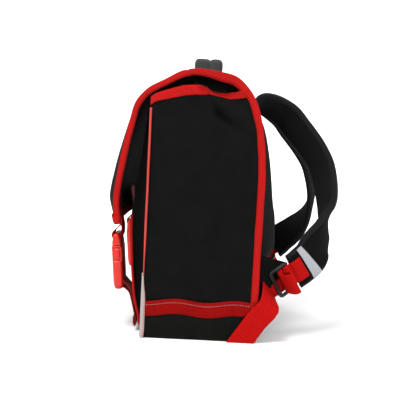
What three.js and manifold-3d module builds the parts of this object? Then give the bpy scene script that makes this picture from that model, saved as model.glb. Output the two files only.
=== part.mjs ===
// School ransel: a soft box of black woven cloth bound in red tape, with a fold-over flap closed by two
// buckles, a wedge-shaped front pocket, a moulded handle, a padded back and two padded shoulder straps.
// Millimetres. X runs across the bag, +Y towards the wearer's back, +Z up, origin under the middle of the base.

import * as THREE from 'three';
import Module from 'manifold-3d';

const wasm = await Module();
wasm.setup();

// Body
const bodyWidth = 290;
const bodyDepth = 148;
const crestHeight = 357;
const clothWall = 2.5;
const paddedWall = 6.4;
const clearance = 0.3;

// Base tray and its band
const trayHeight = 46;
const trayWall = 2;
const trayFloor = 3;
const trayCorner = 2.6;
const bandWidth = 20;
const bandCentre = 42.5;
const bandWave = 4;

// Tapes, bindings and piping
const tapeThickness = 1.5;
const bindingWidth = 10;
const bindingLap = 9;
const mouthTapeWidth = 12;
const pipingDiameter = 3.6;
const reflectorTop = 90;
const reflectorReach = 7;
const reflectorReturn = 12;

// Mouth pleat in the side panels
const pleatDepth = 8;
const pleatLength = 70;
const leanShare = 0.4;
const sideBulge = 4;

// Flap
const flapCrown = 15;

// Front pocket
const pocketInset = 20;
const pocketHeight = 160;
const pocketFoot = 14;
const pocketDepth = 20;
const pocketWall = 2;
const gussetHeight = 302;

// Closures
const closureInset = 50;
const closureWebbing = 38;
const webbingThickness = 1.6;
const buckleWidth = 48;
const buckleThickness = 15;
const socketLength = 60;
const plugLength = 17;
const plugPitch = 9;
const prongLength = 38;
const slotHeight = 5.5;
const barLength = 6.25;
const buckleDrop = 16;
const buckleForward = 12;
const buckleTilt = 5;

// Handle
const handleLength = 124;
const handleWidth = 41;
const handleThickness = 11;
const handleRise = 30;
const handleGroove = 3;

// Back pad
const padWidth = 204;
const padTop = 306;
const padFoot = 100;
const padThickness = 28;

// Shoulder straps and their adjusters
const strapWidth = 60;
const strapEndWidth = 50;
const strapThickness = 12;
const strapReach = 100;
const reflectiveWidth = 15;
const reflectorFromEnd = 37;
const strapLength = 330;
const adjusterWebbing = 30;
const lockLength = 30;
const lockThickness = 4;
const lockRim = 5;
const lockGap = 6;
const lockBar = 4;
const upperSlot = 9.5;
const lowerSlot = 7.5;
const wingHeight = 66;
const wingReach = 30;
const wingInset = 31;
const tailLength = 34;
const patchLength = 24;

const halfWidth = bodyWidth / 2;
const halfDepth = bodyDepth / 2;
const pocketWidth = bodyWidth - 2 * pocketInset;
const closureOffset = halfWidth - closureInset;
const backFace = halfDepth + bindingWidth / 2;
const coverHalf = halfWidth - trayWall - 2 * clearance;

const black = { color: 0x2a2b2c, roughness: 0.85, metalness: 0 };
const red = { color: 0xd8261f, roughness: 0.75, metalness: 0 };
const darkRed = { color: 0x8d1611, roughness: 0.8, metalness: 0 };
const redPlastic = { color: 0xe23a2c, roughness: 0.35, metalness: 0 };
const blackPlastic = { color: 0x17181a, roughness: 0.4, metalness: 0 };
const rubber = { color: 0x333436, roughness: 0.6, metalness: 0 };
const mesh = { color: 0x1c1d1f, roughness: 0.95, metalness: 0 };
const silver = { color: 0x8f9498, roughness: 0.45, metalness: 0.1 };

const bag = new THREE.Group();

function piece(name, geometry, look) {
  const part = new THREE.Mesh(geometry, new THREE.MeshStandardMaterial(look));
  part.name = name;
  bag.add(part);
  return part;
}

// Both sides of the bag from the geometry of its right side
function pair(name, geometry, look) {
  piece(`${name}_right`, geometry, look);
  piece(`${name}_left`, mirrored(geometry), look);
}

function turnedInsideOut(geometry) {
  const index = geometry.index.array;
  for (let i = 0; i < index.length; i += 3) {
    [index[i], index[i + 1]] = [index[i + 1], index[i]];
  }
  return geometry;
}

function mirrored(geometry) {
  return turnedInsideOut(geometry.clone().scale(-1, 1, 1));
}

function volume(geometry) {
  const index = geometry.index.array;
  const corner = [new THREE.Vector3(), new THREE.Vector3(), new THREE.Vector3()];
  let sum = 0;
  for (let i = 0; i < index.length; i += 3) {
    corner.forEach((v, k) => v.fromBufferAttribute(geometry.attributes.position, index[i + k]));
    sum += corner[0].dot(corner[1].clone().cross(corner[2]));
  }
  return sum / 6;
}

// A block of cells whose every corner is placed by its shares of length, width and depth
function shaped(cells, place) {
  const block = new THREE.BoxGeometry(1, 1, 1, ...cells);
  const position = block.attributes.position;
  for (let i = 0; i < position.count; i++) {
    const at = place(position.getX(i) + 0.5, position.getY(i) + 0.5, position.getZ(i) + 0.5);
    position.setXYZ(i, at.x, at.y, at.z);
  }
  block.deleteAttribute('normal');
  block.deleteAttribute('uv');
  return volume(block) < 0 ? turnedInsideOut(block) : block;
}

function toSolid(geometry) {
  const seen = new Map();
  const spots = [];
  const renumber = [];
  const position = geometry.attributes.position;
  for (let i = 0; i < position.count; i++) {
    const at = [position.getX(i), position.getY(i), position.getZ(i)];
    const key = at.map((v) => Math.round(v * 1e4)).join();
    if (!seen.has(key)) {
      seen.set(key, spots.length / 3);
      spots.push(...at);
    }
    renumber.push(seen.get(key));
  }
  const order = geometry.index ? Array.from(geometry.index.array) : renumber.map((_, i) => i);
  const corners = order.map((i) => renumber[i]);
  const faces = [];
  for (let i = 0; i < corners.length; i += 3) {
    const [a, b, c] = corners.slice(i, i + 3);
    if (a !== b && b !== c && a !== c) faces.push(a, b, c);
  }
  const data = { numProp: 3, vertProperties: Float32Array.from(spots), triVerts: Uint32Array.from(faces) };
  return new wasm.Manifold(new wasm.Mesh(data));
}

function toGeometry(solid) {
  const { vertProperties, triVerts } = solid.getMesh();
  const geometry = new THREE.BufferGeometry();
  geometry.setAttribute('position', new THREE.BufferAttribute(Float32Array.from(vertProperties), 3));
  geometry.setIndex(Array.from(triVerts));
  return geometry;
}

function carve(geometry, ...cutters) {
  return toGeometry(cutters.reduce((solid, cutter) => solid.subtract(toSolid(cutter)), toSolid(geometry)));
}

function join(...geometries) {
  return toGeometry(geometries.map(toSolid).reduce((whole, solid) => whole.add(solid)));
}

// A block given by its middle and its size
function block(x, y, z, width, depth, height) {
  return new THREE.BoxGeometry(width, depth, height).translate(x, y, z);
}

function smooth(from, to, value) {
  return THREE.MathUtils.smoothstep(value, from, to);
}

function mix(a, b, share) {
  return a + (b - a) * share;
}

// Reads a column of a table of rows at any share of the table's own first column
function reader(rows, key, column) {
  return (at) => {
    if (at <= rows[0][key]) return rows[0][column];
    for (let i = 1; i < rows.length; i++) {
      if (at > rows[i][key]) continue;
      const share = (at - rows[i - 1][key]) / (rows[i][key] - rows[i - 1][key]);
      return mix(rows[i - 1][column], rows[i][column], share);
    }
    return rows[rows.length - 1][column];
  };
}

// The line that the back panel and the flap follow, seen from the side: up the back, over and down the front.
// back is a share of the body's depth from its middle, up a share of the crest's height.
const coverRows = [
  { back: 0.494, up: 0.0095 },
  { back: 0.496, up: 0.13 },
  { back: 0.5, up: 0.155 },
  { back: 0.503, up: 0.336 },
  { back: 0.509, up: 0.49 },
  { back: 0.51, up: 0.616 },
  { back: 0.495, up: 0.711 },
  { back: 0.456, up: 0.814 },
  { back: 0.375, up: 0.903 },
  { back: 0.23, up: 0.963 },
  { back: 0.097, up: 0.9755 },
  { back: -0.05, up: 0.983 },
  { back: -0.18, up: 0.9805 },
  { back: -0.378, up: 0.9405 },
  { back: -0.534, up: 0.9005 },
  { back: -0.611, up: 0.857 },
  { back: -0.65, up: 0.797 },
  { back: -0.698, up: 0.702 },
  { back: -0.748, up: 0.577 },
  { back: -0.765, up: 0.503 },
  { back: -0.745, up: 0.415 },
];
const coverLine = new THREE.CatmullRomCurve3(
  coverRows.map(({ back, up }) => new THREE.Vector3(0, back * bodyDepth, up * crestHeight)),
  false,
  'centripetal',
);

// The line is walked in stops, two to a row, and every piece on it keeps to the same stops
const stopsPerRow = 2;
const lastStop = (coverRows.length - 1) * stopsPerRow;
const bindingStop = 2 * stopsPerRow;
const seamStop = 8 * stopsPerRow;

function coverStop(stop, outward) {
  const at = coverLine.getPoint(stop / lastStop);
  const run = coverLine.getTangent(stop / lastStop);
  return new THREE.Vector2(at.y + run.z * outward, at.z - run.y * outward);
}

// Point at any stop along the cover's line, moved outward by a distance: x is the bag's Y, y its Z
function onCover(stop, outward = 0) {
  const before = Math.min(Math.floor(stop), lastStop - 1);
  return coverStop(before, outward).lerp(coverStop(before + 1, outward), stop - before);
}

// The buckles hang below the hem and stand in front of it
const hem = coverStop(lastStop, 0);
const buckleTop = hem.y - buckleDrop;
const buckleFront = buckleForward - hem.x;

// Stop before the hem by a distance along the flap
function stopBeforeHem(distance) {
  return lastStop - distance / coverStop(lastStop, 0).distanceTo(coverStop(lastStop - 1, 0));
}

// Stop at which the line, moved outward, passes a height on its way up the back
function stopAtHeight(height, outward = 0) {
  let low = 0;
  let high = lastStop / 2;
  for (let i = 0; i < 40; i++) {
    const middle = (low + high) / 2;
    if (onCover(middle, outward).y < height) low = middle;
    else high = middle;
  }
  return low;
}

// Back edge of a side panel at a height: it stops just inside the binding
function sideBack(height) {
  const inset = -(bindingWidth / 2 + clearance);
  return onCover(stopAtHeight(height, inset), inset).x;
}

// Top edge of a side panel from front to back: up is a share of the crest's height, fold how deep the pleat is,
// tall the share of the mouth tape's width that still stands upright where the pleat leans it inward
const mouthRows = [
  { along: 0, up: 0.887, fold: 0, tall: 0.8 },
  { along: 0.05, up: 0.901, fold: 0, tall: 0.82 },
  { along: 0.174, up: 0.917, fold: 0, tall: 0.94 },
  { along: 0.339, up: 0.933, fold: 0.05, tall: 1 },
  { along: 0.45, up: 0.937, fold: 0.1, tall: 1 },
  { along: 0.556, up: 0.938, fold: 0.25, tall: 0.95 },
  { along: 0.614, up: 0.933, fold: 0.6, tall: 0.66 },
  { along: 0.675, up: 0.917, fold: 1, tall: 0.35 },
  { along: 0.743, up: 0.916, fold: 1, tall: 0.4 },
  { along: 0.81, up: 0.915, fold: 0.85, tall: 0.58 },
  { along: 0.925, up: 0.919, fold: 0.35, tall: 0.62 },
  { along: 1, up: 0.925, fold: 0, tall: 0.75 },
];
const mouthUp = reader(mouthRows, 'along', 'up');
const mouthFold = reader(mouthRows, 'along', 'fold');
const mouthTall = reader(mouthRows, 'along', 'tall');

// How far inward of the tray's outer face a panel lies at a height, where it is tucked into the tray
function tuck(height) {
  const rim = trayHeight + clearance;
  const share = (height - rim) / (trayHeight + bandWidth / 2 - rim);
  return (trayWall + clearance) * (1 - THREE.MathUtils.clamp(share, 0, 1));
}

// Outer face of a side panel: a shallow bulge, and the pleat that sinks in from the mouth
function sideFace(along, height) {
  const top = mouthUp(along) * crestHeight;
  const rise = height / top;
  const bulge = sideBulge * Math.sin(Math.PI * along) * Math.sin(Math.PI * Math.min(1, Math.max(0, rise)));
  const below = Math.min(1, (top - height) / pleatLength);
  const pleat = pleatDepth * mouthFold(along) * (1 - below) ** 2;
  const tape = Math.min(1, (top - height) / (mouthTapeWidth * mouthTall(along)));
  const lean = mouthTapeWidth * leanShare * Math.sqrt(1 - mouthTall(along) ** 2) * mouthFold(along) * (1 - tape);
  return halfWidth - tuck(height) + bulge * smooth(trayHeight, trayHeight + 3 * bandWidth, height) - pleat - lean;
}

function sideInner(height) {
  return halfWidth - tuck(height) - clothWall;
}

// Height of a row of a panel that stands in the tray: its first two rows end at the tray's rim and clear of it
function panelHeight(up, rows, top) {
  const row = up * rows;
  const stops = [trayFloor + clearance, trayHeight + clearance, trayHeight + bandWidth / 2];
  if (row <= 2) return mix(stops[Math.floor(row)], stops[Math.min(2, Math.floor(row) + 1)], row % 1);
  return mix(stops[2], top, (row - 2) / (rows - 2));
}

// The last two rows of a side panel lie under the mouth tape
const sideCells = [16, 14, 1];
const tapeRows = 2;
const tapeFrom = 1 - tapeRows / sideCells[1];

function sideHeight(along, up) {
  const top = mouthUp(along) * crestHeight;
  const foot = top - mouthTapeWidth * mouthTall(along);
  if (up > tapeFrom) return mix(foot, top, (up - tapeFrom) / (1 - tapeFrom));
  return panelHeight(up / tapeFrom, sideCells[1] - tapeRows, foot);
}

function onSidePanel(along, up, outward) {
  const height = sideHeight(along, up);
  const y = mix(-halfDepth + tuck(height), sideBack(sideHeight(1, up)), along);
  return new THREE.Vector3(sideFace(along, height) + outward, y, height);
}

function makeSidePanels() {
  const panel = shaped(sideCells, (along, up, depth) => onSidePanel(along, up, -clothWall * (1 - depth)));
  pair('side_panel', panel, black);
  const tape = shaped([sideCells[0], tapeRows, 1], (along, up, depth) => {
    return onSidePanel(along, mix(tapeFrom, 1, up), 2 * clearance + tapeThickness * depth);
  });
  pair('mouth_tape', tape, red);
}

function makeFrontPanel() {
  const rows = 8;
  const top = mouthRows[0].up * crestHeight - clearance;
  const panel = shaped([4, rows, 1], (across, up, depth) => {
    const height = panelHeight(up, rows, top);
    const x = (2 * across - 1) * (sideInner(height) - clearance);
    return new THREE.Vector3(x, -halfDepth + tuck(height) + clothWall * (1 - depth), height);
  });
  piece('front_panel', panel, black);
}

const bindingWeb = halfWidth + tapeThickness - clearance;
const bindingLip = bindingWeb - bindingLap;
const crownHalf = bindingLip - clearance;

// Place across the cover: its outermost cells lie inside the binding, and only the rest is crowned
function acrossCover(share, cells) {
  const cell = share * cells;
  if (cell < 1) return mix(-coverHalf, -crownHalf, cell);
  if (cell > cells - 1) return mix(crownHalf, coverHalf, cell - cells + 1);
  return mix(-crownHalf, crownHalf, (cell - 1) / (cells - 2));
}

function crownShare(x) {
  return Math.max(0, 1 - (x / crownHalf) ** 4);
}

// A padded sheet between two stops of the cover's line, crowned in the middle
function coverSheet(from, to, cells, crown) {
  return shaped([...cells, 1], (across, along, depth) => {
    const stop = Math.min(mix(Math.floor(from), Math.ceil(to), along), to);
    const x = acrossCover(across, cells[0]);
    const gap = stop <= from ? clearance : 0;
    const at = onCover(Math.max(stop, from), crown(stop) * crownShare(x) + paddedWall * (depth - 0.5));
    return new THREE.Vector3(x, at.x - gap, at.y);
  });
}

// Crown of the flap as a share of its fullest, from the seam at the back (0) to the hem (1)
const crownRows = [
  { along: 0, crown: 0 },
  { along: 0.1, crown: 0.12 },
  { along: 0.35, crown: 0.2 },
  { along: 0.55, crown: 0.45 },
  { along: 0.75, crown: 0.85 },
  { along: 0.9, crown: 1 },
  { along: 1, crown: 0.55 },
];
const crownAt = reader(crownRows, 'along', 'crown');

const flapStop = stopBeforeHem(tapeThickness + clearance);

function flapCrownAt(stop) {
  return flapCrown * crownAt((stop - seamStop) / (flapStop - seamStop));
}

const coverCells = 10;

function makeCover() {
  piece('back_panel', coverSheet(0, seamStop, [4, seamStop], () => 0), black);
  piece('flap', coverSheet(seamStop, flapStop, [coverCells, lastStop - seamStop], flapCrownAt), black);
}

// A tape folded round an edge, seen in section: two flanges and a web
function foldedTape(share, depth, lip, web, height) {
  const reach = height / 2 - tapeThickness * depth;
  const corner = web - Math.sign(web - lip) * tapeThickness * depth;
  const corners = [
    { across: lip, out: -reach },
    { across: corner, out: -reach },
    { across: corner, out: reach },
    { across: lip, out: reach },
  ];
  return corners[Math.round(share * 3)];
}

function makeBindings() {
  const edge = shaped([3, lastStop - bindingStop, 1], (round, along, depth) => {
    const { across, out } = foldedTape(round, depth, bindingLip, bindingWeb, bindingWidth);
    const at = onCover(mix(bindingStop, lastStop, along), out);
    return new THREE.Vector3(across, at.x, at.y);
  });
  pair('edge_binding', edge, red);

  const cells = coverCells - 2;
  const hem = shaped([cells, 3, 1], (across, round, depth) => {
    const x = mix(-crownHalf, crownHalf, across);
    const { across: distance, out } = foldedTape(round, depth, bindingLap, 0, bindingWidth + 2 * clearance);
    const stop = stopBeforeHem(distance);
    const at = onCover(stop, flapCrownAt(Math.min(stop, flapStop)) * crownShare(x) + out);
    return new THREE.Vector3(x, at.x, at.y);
  });
  piece('flap_hem_binding', hem, red);
}

function roundedRectangle(width, depth, corner) {
  const shape = new THREE.Shape();
  const [w, d] = [width / 2, depth / 2];
  shape.moveTo(-w + corner, -d);
  shape.lineTo(w - corner, -d);
  shape.absarc(w - corner, -d + corner, corner, -Math.PI / 2, 0);
  shape.lineTo(w, d - corner);
  shape.absarc(w - corner, d - corner, corner, 0, Math.PI / 2);
  shape.lineTo(-w + corner, d);
  shape.absarc(-w + corner, d - corner, corner, Math.PI / 2, Math.PI);
  shape.lineTo(-w, -d + corner);
  shape.absarc(-w + corner, -d + corner, corner, Math.PI, 1.5 * Math.PI);
  return shape;
}

function slab(shape, height, segments = 3) {
  return new THREE.ExtrudeGeometry(shape, { depth: height, bevelEnabled: false, curveSegments: segments });
}

function makeBase() {
  const depth = halfDepth + backFace;
  const middle = (backFace - halfDepth) / 2;
  const outer = slab(roundedRectangle(bodyWidth, depth, trayCorner), trayHeight).translate(0, middle, 0);
  const room = roundedRectangle(bodyWidth - 2 * trayWall, depth - 2 * trayWall, trayCorner - trayWall);
  const inner = slab(room, trayHeight).translate(0, middle, trayFloor);
  piece('base', carve(outer, inner), black);
}

// Height of the band's middle along the side: two low humps
function bandMiddle(along) {
  return bandCentre + bandWave * (Math.sin(2 * Math.PI * (1.75 * along - 0.25)) - 0.6 * (1 - along)) * 0.5;
}

function makeSideBands() {
  const ends = { front: -halfDepth + reflectorReach + clearance, back: halfDepth - bindingWidth / 2 };
  const band = shaped([20, 1, 1], (along, up, depth) => {
    const z = bandMiddle(along) + bandWidth * (up - 0.5);
    const seat = halfWidth + clearance + sideBulge * 0.06 * smooth(trayHeight, trayHeight + bandWidth, z);
    return new THREE.Vector3(seat + tapeThickness * depth, mix(ends.front, ends.back, along), z);
  });
  pair('side_band', band, red);
}

// A round cord with a ring at each of its points
function cord(points, diameter, sides = 8) {
  const runs = points.map((at, i) => {
    const [before, after] = [points[Math.max(0, i - 1)], points[Math.min(points.length - 1, i + 1)]];
    return after.clone().sub(before).normalize();
  });
  let side = new THREE.Vector3(0, 1, 0);
  const frames = runs.map((run) => {
    side = side.clone().addScaledVector(run, -side.dot(run)).normalize();
    return { side, other: run.clone().cross(side) };
  });
  const rod = new THREE.CylinderGeometry(1, 1, 1, sides, points.length - 1);
  const position = rod.attributes.position;
  for (let i = 0; i < position.count; i++) {
    const ring = Math.round((position.getY(i) + 0.5) * (points.length - 1));
    const at = points[ring].clone().addScaledVector(frames[ring].side, (position.getX(i) * diameter) / 2);
    at.addScaledVector(frames[ring].other, (position.getZ(i) * diameter) / 2);
    position.setXYZ(i, at.x, at.y, at.z);
  }
  const merged = toGeometry(toSolid(rod));
  return volume(merged) < 0 ? turnedInsideOut(merged) : merged;
}

function makeFrontPiping() {
  const x = halfWidth + clearance + pipingDiameter / 2;
  const y = -halfDepth + 1;
  const top = mouthRows[0].up * crestHeight - mouthTapeWidth - pipingDiameter;
  const run = [reflectorTop + clearance, (reflectorTop + top) / 2, top];
  pair('front_piping', cord(run.map((z) => new THREE.Vector3(x, y, z)), pipingDiameter), red);
}

// Strip folded round the front corner above the floor, narrowing to its top
function makeReflectiveStrips() {
  const strip = shaped([2, 8, 1], (round, up, depth) => {
    const z = mix(1, reflectorTop, up);
    const taper = 1 - 0.7 * up ** 2;
    const out = clearance + tapeThickness * depth;
    const corners = [
      new THREE.Vector3(halfWidth + out, -halfDepth + reflectorReach * taper - clearance, z),
      new THREE.Vector3(halfWidth + out, -halfDepth - out, z),
      new THREE.Vector3(halfWidth - reflectorReturn * taper, -halfDepth - out, z),
    ];
    return corners[Math.round(round * 2)];
  });
  pair('reflective_strip', strip, silver);
}

// How far the pocket's front stands off the bag, by height: both columns are shares
const pocketRows = [
  { up: 0.045, out: 0.13 },
  { up: 0.17, out: 0.6 },
  { up: 0.29, out: 0.81 },
  { up: 0.46, out: 0.98 },
  { up: 0.53, out: 1 },
  { up: 0.75, out: 0.55 },
  { up: 1, out: 0.12 },
];
const pocketOut = reader(pocketRows, 'up', 'out');

function pocketStand(height) {
  return pocketDepth * pocketOut(height / gussetHeight);
}

const pocketRowCount = 8;

function pocketHeightAt(row) {
  return mix(pocketFoot, pocketHeight, row / pocketRowCount);
}

function pocketPuff(x) {
  return 3 * Math.max(0, 1 - (x / (pocketWidth / 2)) ** 4);
}

function makePocket() {
  const half = pocketWidth / 2;
  const front = shaped([6, pocketRowCount, 1], (across, up, depth) => {
    const z = pocketHeightAt(up * pocketRowCount);
    const x = (2 * across - 1) * half;
    const stand = pocketStand(z) + pocketPuff(x) * Math.sin(Math.PI * up);
    return new THREE.Vector3(x, -halfDepth - clearance - stand + pocketWall * (1 - depth), z);
  });
  piece('pocket_front', front, black);

  const free = 5;
  const gusset = shaped([1, pocketRowCount - 1 + free, 1], (out, up, depth) => {
    const row = 1 + Math.round(up * (pocketRowCount - 1 + free));
    const above = (row - pocketRowCount) / free;
    const behind = row > pocketRowCount ? 0 : pocketWall + clearance;
    const z = row > pocketRowCount ? mix(pocketHeight, gussetHeight, above) : pocketHeightAt(row);
    const stand = pocketStand(z) - behind;
    return new THREE.Vector3(half - pocketWall * (1 - depth) - clearance, -halfDepth - clearance - stand * out, z);
  });
  pair('pocket_gusset', gusset, black);

  const radius = pipingDiameter / 2;
  const x = half + radius + clearance;
  const down = Array.from({ length: pocketRowCount }, (_, i) => {
    const z = pocketHeightAt(pocketRowCount - i);
    return new THREE.Vector3(x, -halfDepth - clearance - pocketStand(z) + pocketWall / 2, z);
  });
  const y = -halfDepth - radius - 2 * clearance;
  const bend = 1.3 * radius;
  const corner = [0, 30, 60, 90].map((degrees) => {
    const angle = THREE.MathUtils.degToRad(degrees);
    const across = x - bend * (1 - Math.cos(angle));
    return new THREE.Vector3(across, y, pocketFoot - radius - 2 * clearance + bend * (1 - Math.sin(angle)));
  });
  const right = [...down, ...corner];
  const left = right.map((at) => new THREE.Vector3(-at.x, at.y, at.z)).reverse();
  piece('pocket_piping', cord([...right, ...left], pipingDiameter, 6), red);
}

// A flat band through stations, each with its point and the direction of the band's width
function band(stations, width, steps) {
  const path = new THREE.CatmullRomCurve3(stations.map(({ at }) => at), false, 'centripetal');
  return shaped([1, steps, 1], (side, share, depth) => {
    const station = Math.min(Math.floor(share * (stations.length - 1)), stations.length - 2);
    const wide = stations[station].wide.clone();
    wide.lerp(stations[station + 1].wide, share * (stations.length - 1) - station);
    const run = path.getTangent(share);
    wide.addScaledVector(run, -wide.dot(run)).normalize();
    const face = run.clone().cross(wide);
    const at = path.getPoint(share).addScaledVector(wide, width * (side - 0.5));
    return at.addScaledVector(face, webbingThickness * (depth - 0.5));
  });
}

function level(points) {
  return points.map((at) => ({ at, wide: new THREE.Vector3(1, 0, 0) }));
}

// Buckle parts are drawn lying down, length along Y, and stood up so that their length runs along Z
function standing(geometry) {
  const front = -buckleFront;
  return geometry
    .translate(0, 0, -buckleThickness)
    .rotateX(Math.PI / 2)
    .translate(closureOffset, 0, 0)
    .applyMatrix4(new THREE.Matrix4().makeRotationX(THREE.MathUtils.degToRad(buckleTilt)))
    .translate(0, front, buckleTop);
}

// Where a point of the standing buckle lies: down from its top, in from its front face
function onBuckle(down, inward) {
  const tilt = THREE.MathUtils.degToRad(buckleTilt);
  const y = inward * Math.cos(tilt) + down * Math.sin(tilt);
  const z = inward * Math.sin(tilt) - down * Math.cos(tilt);
  return new THREE.Vector3(closureOffset, y - buckleFront, z + buckleTop);
}

function makeBuckles() {
  const half = buckleWidth / 2;
  const cavity = { width: buckleWidth - 8, thickness: buckleThickness - 5 };
  const body = roundedRectangle(buckleWidth, socketLength, 6);
  let socket = slab(body, buckleThickness).translate(0, -plugLength - socketLength / 2, 0);
  const deep = prongLength + 3 * clearance;
  const pocket = block(0, -plugLength - deep / 2 + 5, buckleThickness / 2, cavity.width, deep + 10, cavity.thickness);
  const windows = [-1, 1].map((side) => {
    return block(side * half, -plugLength - prongLength * 0.65, buckleThickness / 2, 10, 16, cavity.thickness);
  });
  const slotAt = -plugLength - socketLength + barLength + slotHeight / 2;
  const slot = block(0, slotAt, buckleThickness / 2, closureWebbing + 2, slotHeight, 40);
  const mouth = block(0, -plugLength - socketLength, buckleThickness, closureWebbing + 2, 13, buckleThickness);
  socket = carve(socket, pocket, ...windows, slot, mouth);
  pair('buckle_socket', standing(socket), redPlastic);

  const plate = cavity.thickness - 2 * clearance;
  const level = (buckleThickness - plate) / 2;
  const head = slab(roundedRectangle(buckleWidth - 2, plugLength - clearance, 4), plate);
  head.translate(0, -(plugLength - clearance) / 2, level);
  const eye = block(0, -plugLength * 0.42, buckleThickness / 2, closureWebbing + 2, slotHeight, 40);
  const tongues = [-1, 0, 1].map((side) => {
    const width = side ? plugPitch : plugPitch * 0.8;
    const x = side * (cavity.width / 2 - width / 2 - clearance);
    const long = side ? prongLength : prongLength * 0.8;
    return block(x, -plugLength - long / 2 + 2, buckleThickness / 2, width, long + 4, plate);
  });
  const lugs = [-1, 1].map((side) => {
    return block(side * (half - 4.5), -plugLength - prongLength * 0.65, buckleThickness / 2, 6, 14, plate);
  });
  const plug = carve(join(head, ...tongues, ...lugs), eye);
  pair('buckle_plug', standing(plug), redPlastic);
}

// Crown of the flap at a place across it, on the flat between two of its own columns
function facetCrown(x) {
  const cell = (2 * crownHalf) / (coverCells - 2);
  const column = Math.floor(x / cell) * cell;
  return mix(crownShare(column), crownShare(column + cell), (x - column) / cell);
}

function makeClosureWebbing() {
  const flapEdge = closureOffset + closureWebbing / 2;
  const behindHem = bindingWidth / 2 + 3 * clearance + webbingThickness / 2;
  const inside = (distance) => {
    const stop = stopBeforeHem(distance);
    const at = onCover(stop, flapCrownAt(Math.min(stop, flapStop)) * facetCrown(flapEdge) - behindHem);
    return new THREE.Vector3(closureOffset, at.x, at.y);
  };
  const eye = plugLength * 0.42;
  const upper = [
    inside(40),
    inside(20),
    inside(2),
    onBuckle(-4, buckleThickness + 1),
    onBuckle(eye - 4, buckleThickness - 0.6),
    onBuckle(eye - 0.4, buckleThickness - 2.6),
    onBuckle(eye + 0.4, buckleThickness / 2),
    onBuckle(eye - 0.4, 1.6),
    onBuckle(eye - 4, 0.4),
    onBuckle(-3, 1.5),
    onBuckle(-8, 4.5),
  ];
  pair('upper_closure_webbing', band(level(upper), closureWebbing, 24), darkRed);

  const bar = plugLength + socketLength - barLength - slotHeight / 2;
  const pocketAt = (z, off) => {
    const puff = pocketPuff(closureOffset - closureWebbing / 2);
    return new THREE.Vector3(closureOffset, -halfDepth - clearance - pocketStand(z) - puff - off, z);
  };
  const behind = buckleThickness + clearance + webbingThickness;
  const lower = [
    pocketAt(pocketFoot + 2, 1.6),
    pocketAt(pocketFoot + 16, 2),
    pocketAt(pocketFoot + 28, 2.4),
    onBuckle(bar + 10, behind),
    onBuckle(bar + 3, behind - 0.6),
    onBuckle(bar - 0.2, behind - 3),
    onBuckle(bar - 0.6, buckleThickness / 2),
    onBuckle(bar + 0.6, 4),
    onBuckle(bar + 4, 3),
    onBuckle(bar + 10, 4.6),
    pocketAt(pocketFoot + 32, 11),
    pocketAt(pocketFoot + 14, 10),
    pocketAt(pocketFoot - 6, 9),
  ];
  pair('lower_closure_webbing', band(level(lower), closureWebbing, 30), darkRed);
}

// The handle's arch: along is a share of its length from the middle, rise a share of its height
const handleRows = [
  { along: 0, rise: 1 },
  { along: 0.3, rise: 0.97 },
  { along: 0.55, rise: 0.82 },
  { along: 0.75, rise: 0.5 },
  { along: 0.9, rise: 0.17 },
  { along: 1, rise: 0.02 },
];
const handleUp = reader(handleRows, 'along', 'rise');

// Height of the flap's outer face over the body, at a place across and along the bag
function flapTop(x, y) {
  let stop = lastStop / 2 + 1;
  while (onCover(stop, paddedWall / 2).x > y) stop += 0.1;
  return onCover(stop, paddedWall / 2 + flapCrownAt(stop) * crownShare(x)).y;
}

function makeHandle() {
  const arch = shaped([14, 8, 1], (along, across, depth) => {
    const side = 2 * along - 1;
    const lane = 2 * across - 1;
    const [x, y] = [(side * handleLength) / 2, (lane * handleWidth) / 2];
    const rise = handleUp(Math.abs(side));
    const lobe = Math.sqrt(Math.max(0, 1 - (2 * Math.abs(lane) - 1) ** 4));
    const groove = handleGroove * (1 - Math.min(1, Math.abs(lane) * 3));
    const full = handleThickness * (0.35 + 0.65 * lobe) - groove;
    const thin = mix(0.42, 1, smooth(0, 0.25, 1 - Math.abs(side)));
    const seat = flapTop(x, y) + 2 * clearance;
    const free = flapTop(0, 0) + handleRise - handleThickness;
    return new THREE.Vector3(x, y, mix(seat, free, rise) + full * thin * depth);
  });
  piece('carry_handle', arch, rubber);
}

// Outer face of the back pad, by height: both columns are shares
const padRows = [
  { up: 0, out: 0.5 },
  { up: 0.04, out: 0.9 },
  { up: 0.1, out: 1 },
  { up: 0.28, out: 0.93 },
  { up: 0.4, out: 0.74 },
  { up: 0.62, out: 0.56 },
  { up: 0.85, out: 0.4 },
  { up: 0.96, out: 0.28 },
  { up: 1, out: 0.16 },
];
const padOut = reader(padRows, 'up', 'out');

function makeBackPad() {
  const seat = paddedWall / 2 + clearance;
  const [low, high] = [stopAtHeight(padFoot, seat), stopAtHeight(padTop, seat)];
  const stops = [low];
  for (let stop = Math.ceil(low + 0.2); stop < high - 0.2; stop++) stops.push(stop);
  stops.push(high);
  const pad = shaped([8, stops.length - 1, 1], (across, along, depth) => {
    const at = onCover(stops[Math.round(along * (stops.length - 1))], seat);
    const side = 2 * across - 1;
    const edge = Math.sqrt(Math.max(0.03, 1 - side ** 8));
    const channel = 0.16 * Math.exp(-((side / 0.13) ** 2));
    const out = padThickness * padOut((at.y - padFoot) / (padTop - padFoot)) * (edge - channel);
    return new THREE.Vector3((side * padWidth) / 2, at.x + out * depth, at.y);
  });
  piece('back_pad', pad, mesh);
}

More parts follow.
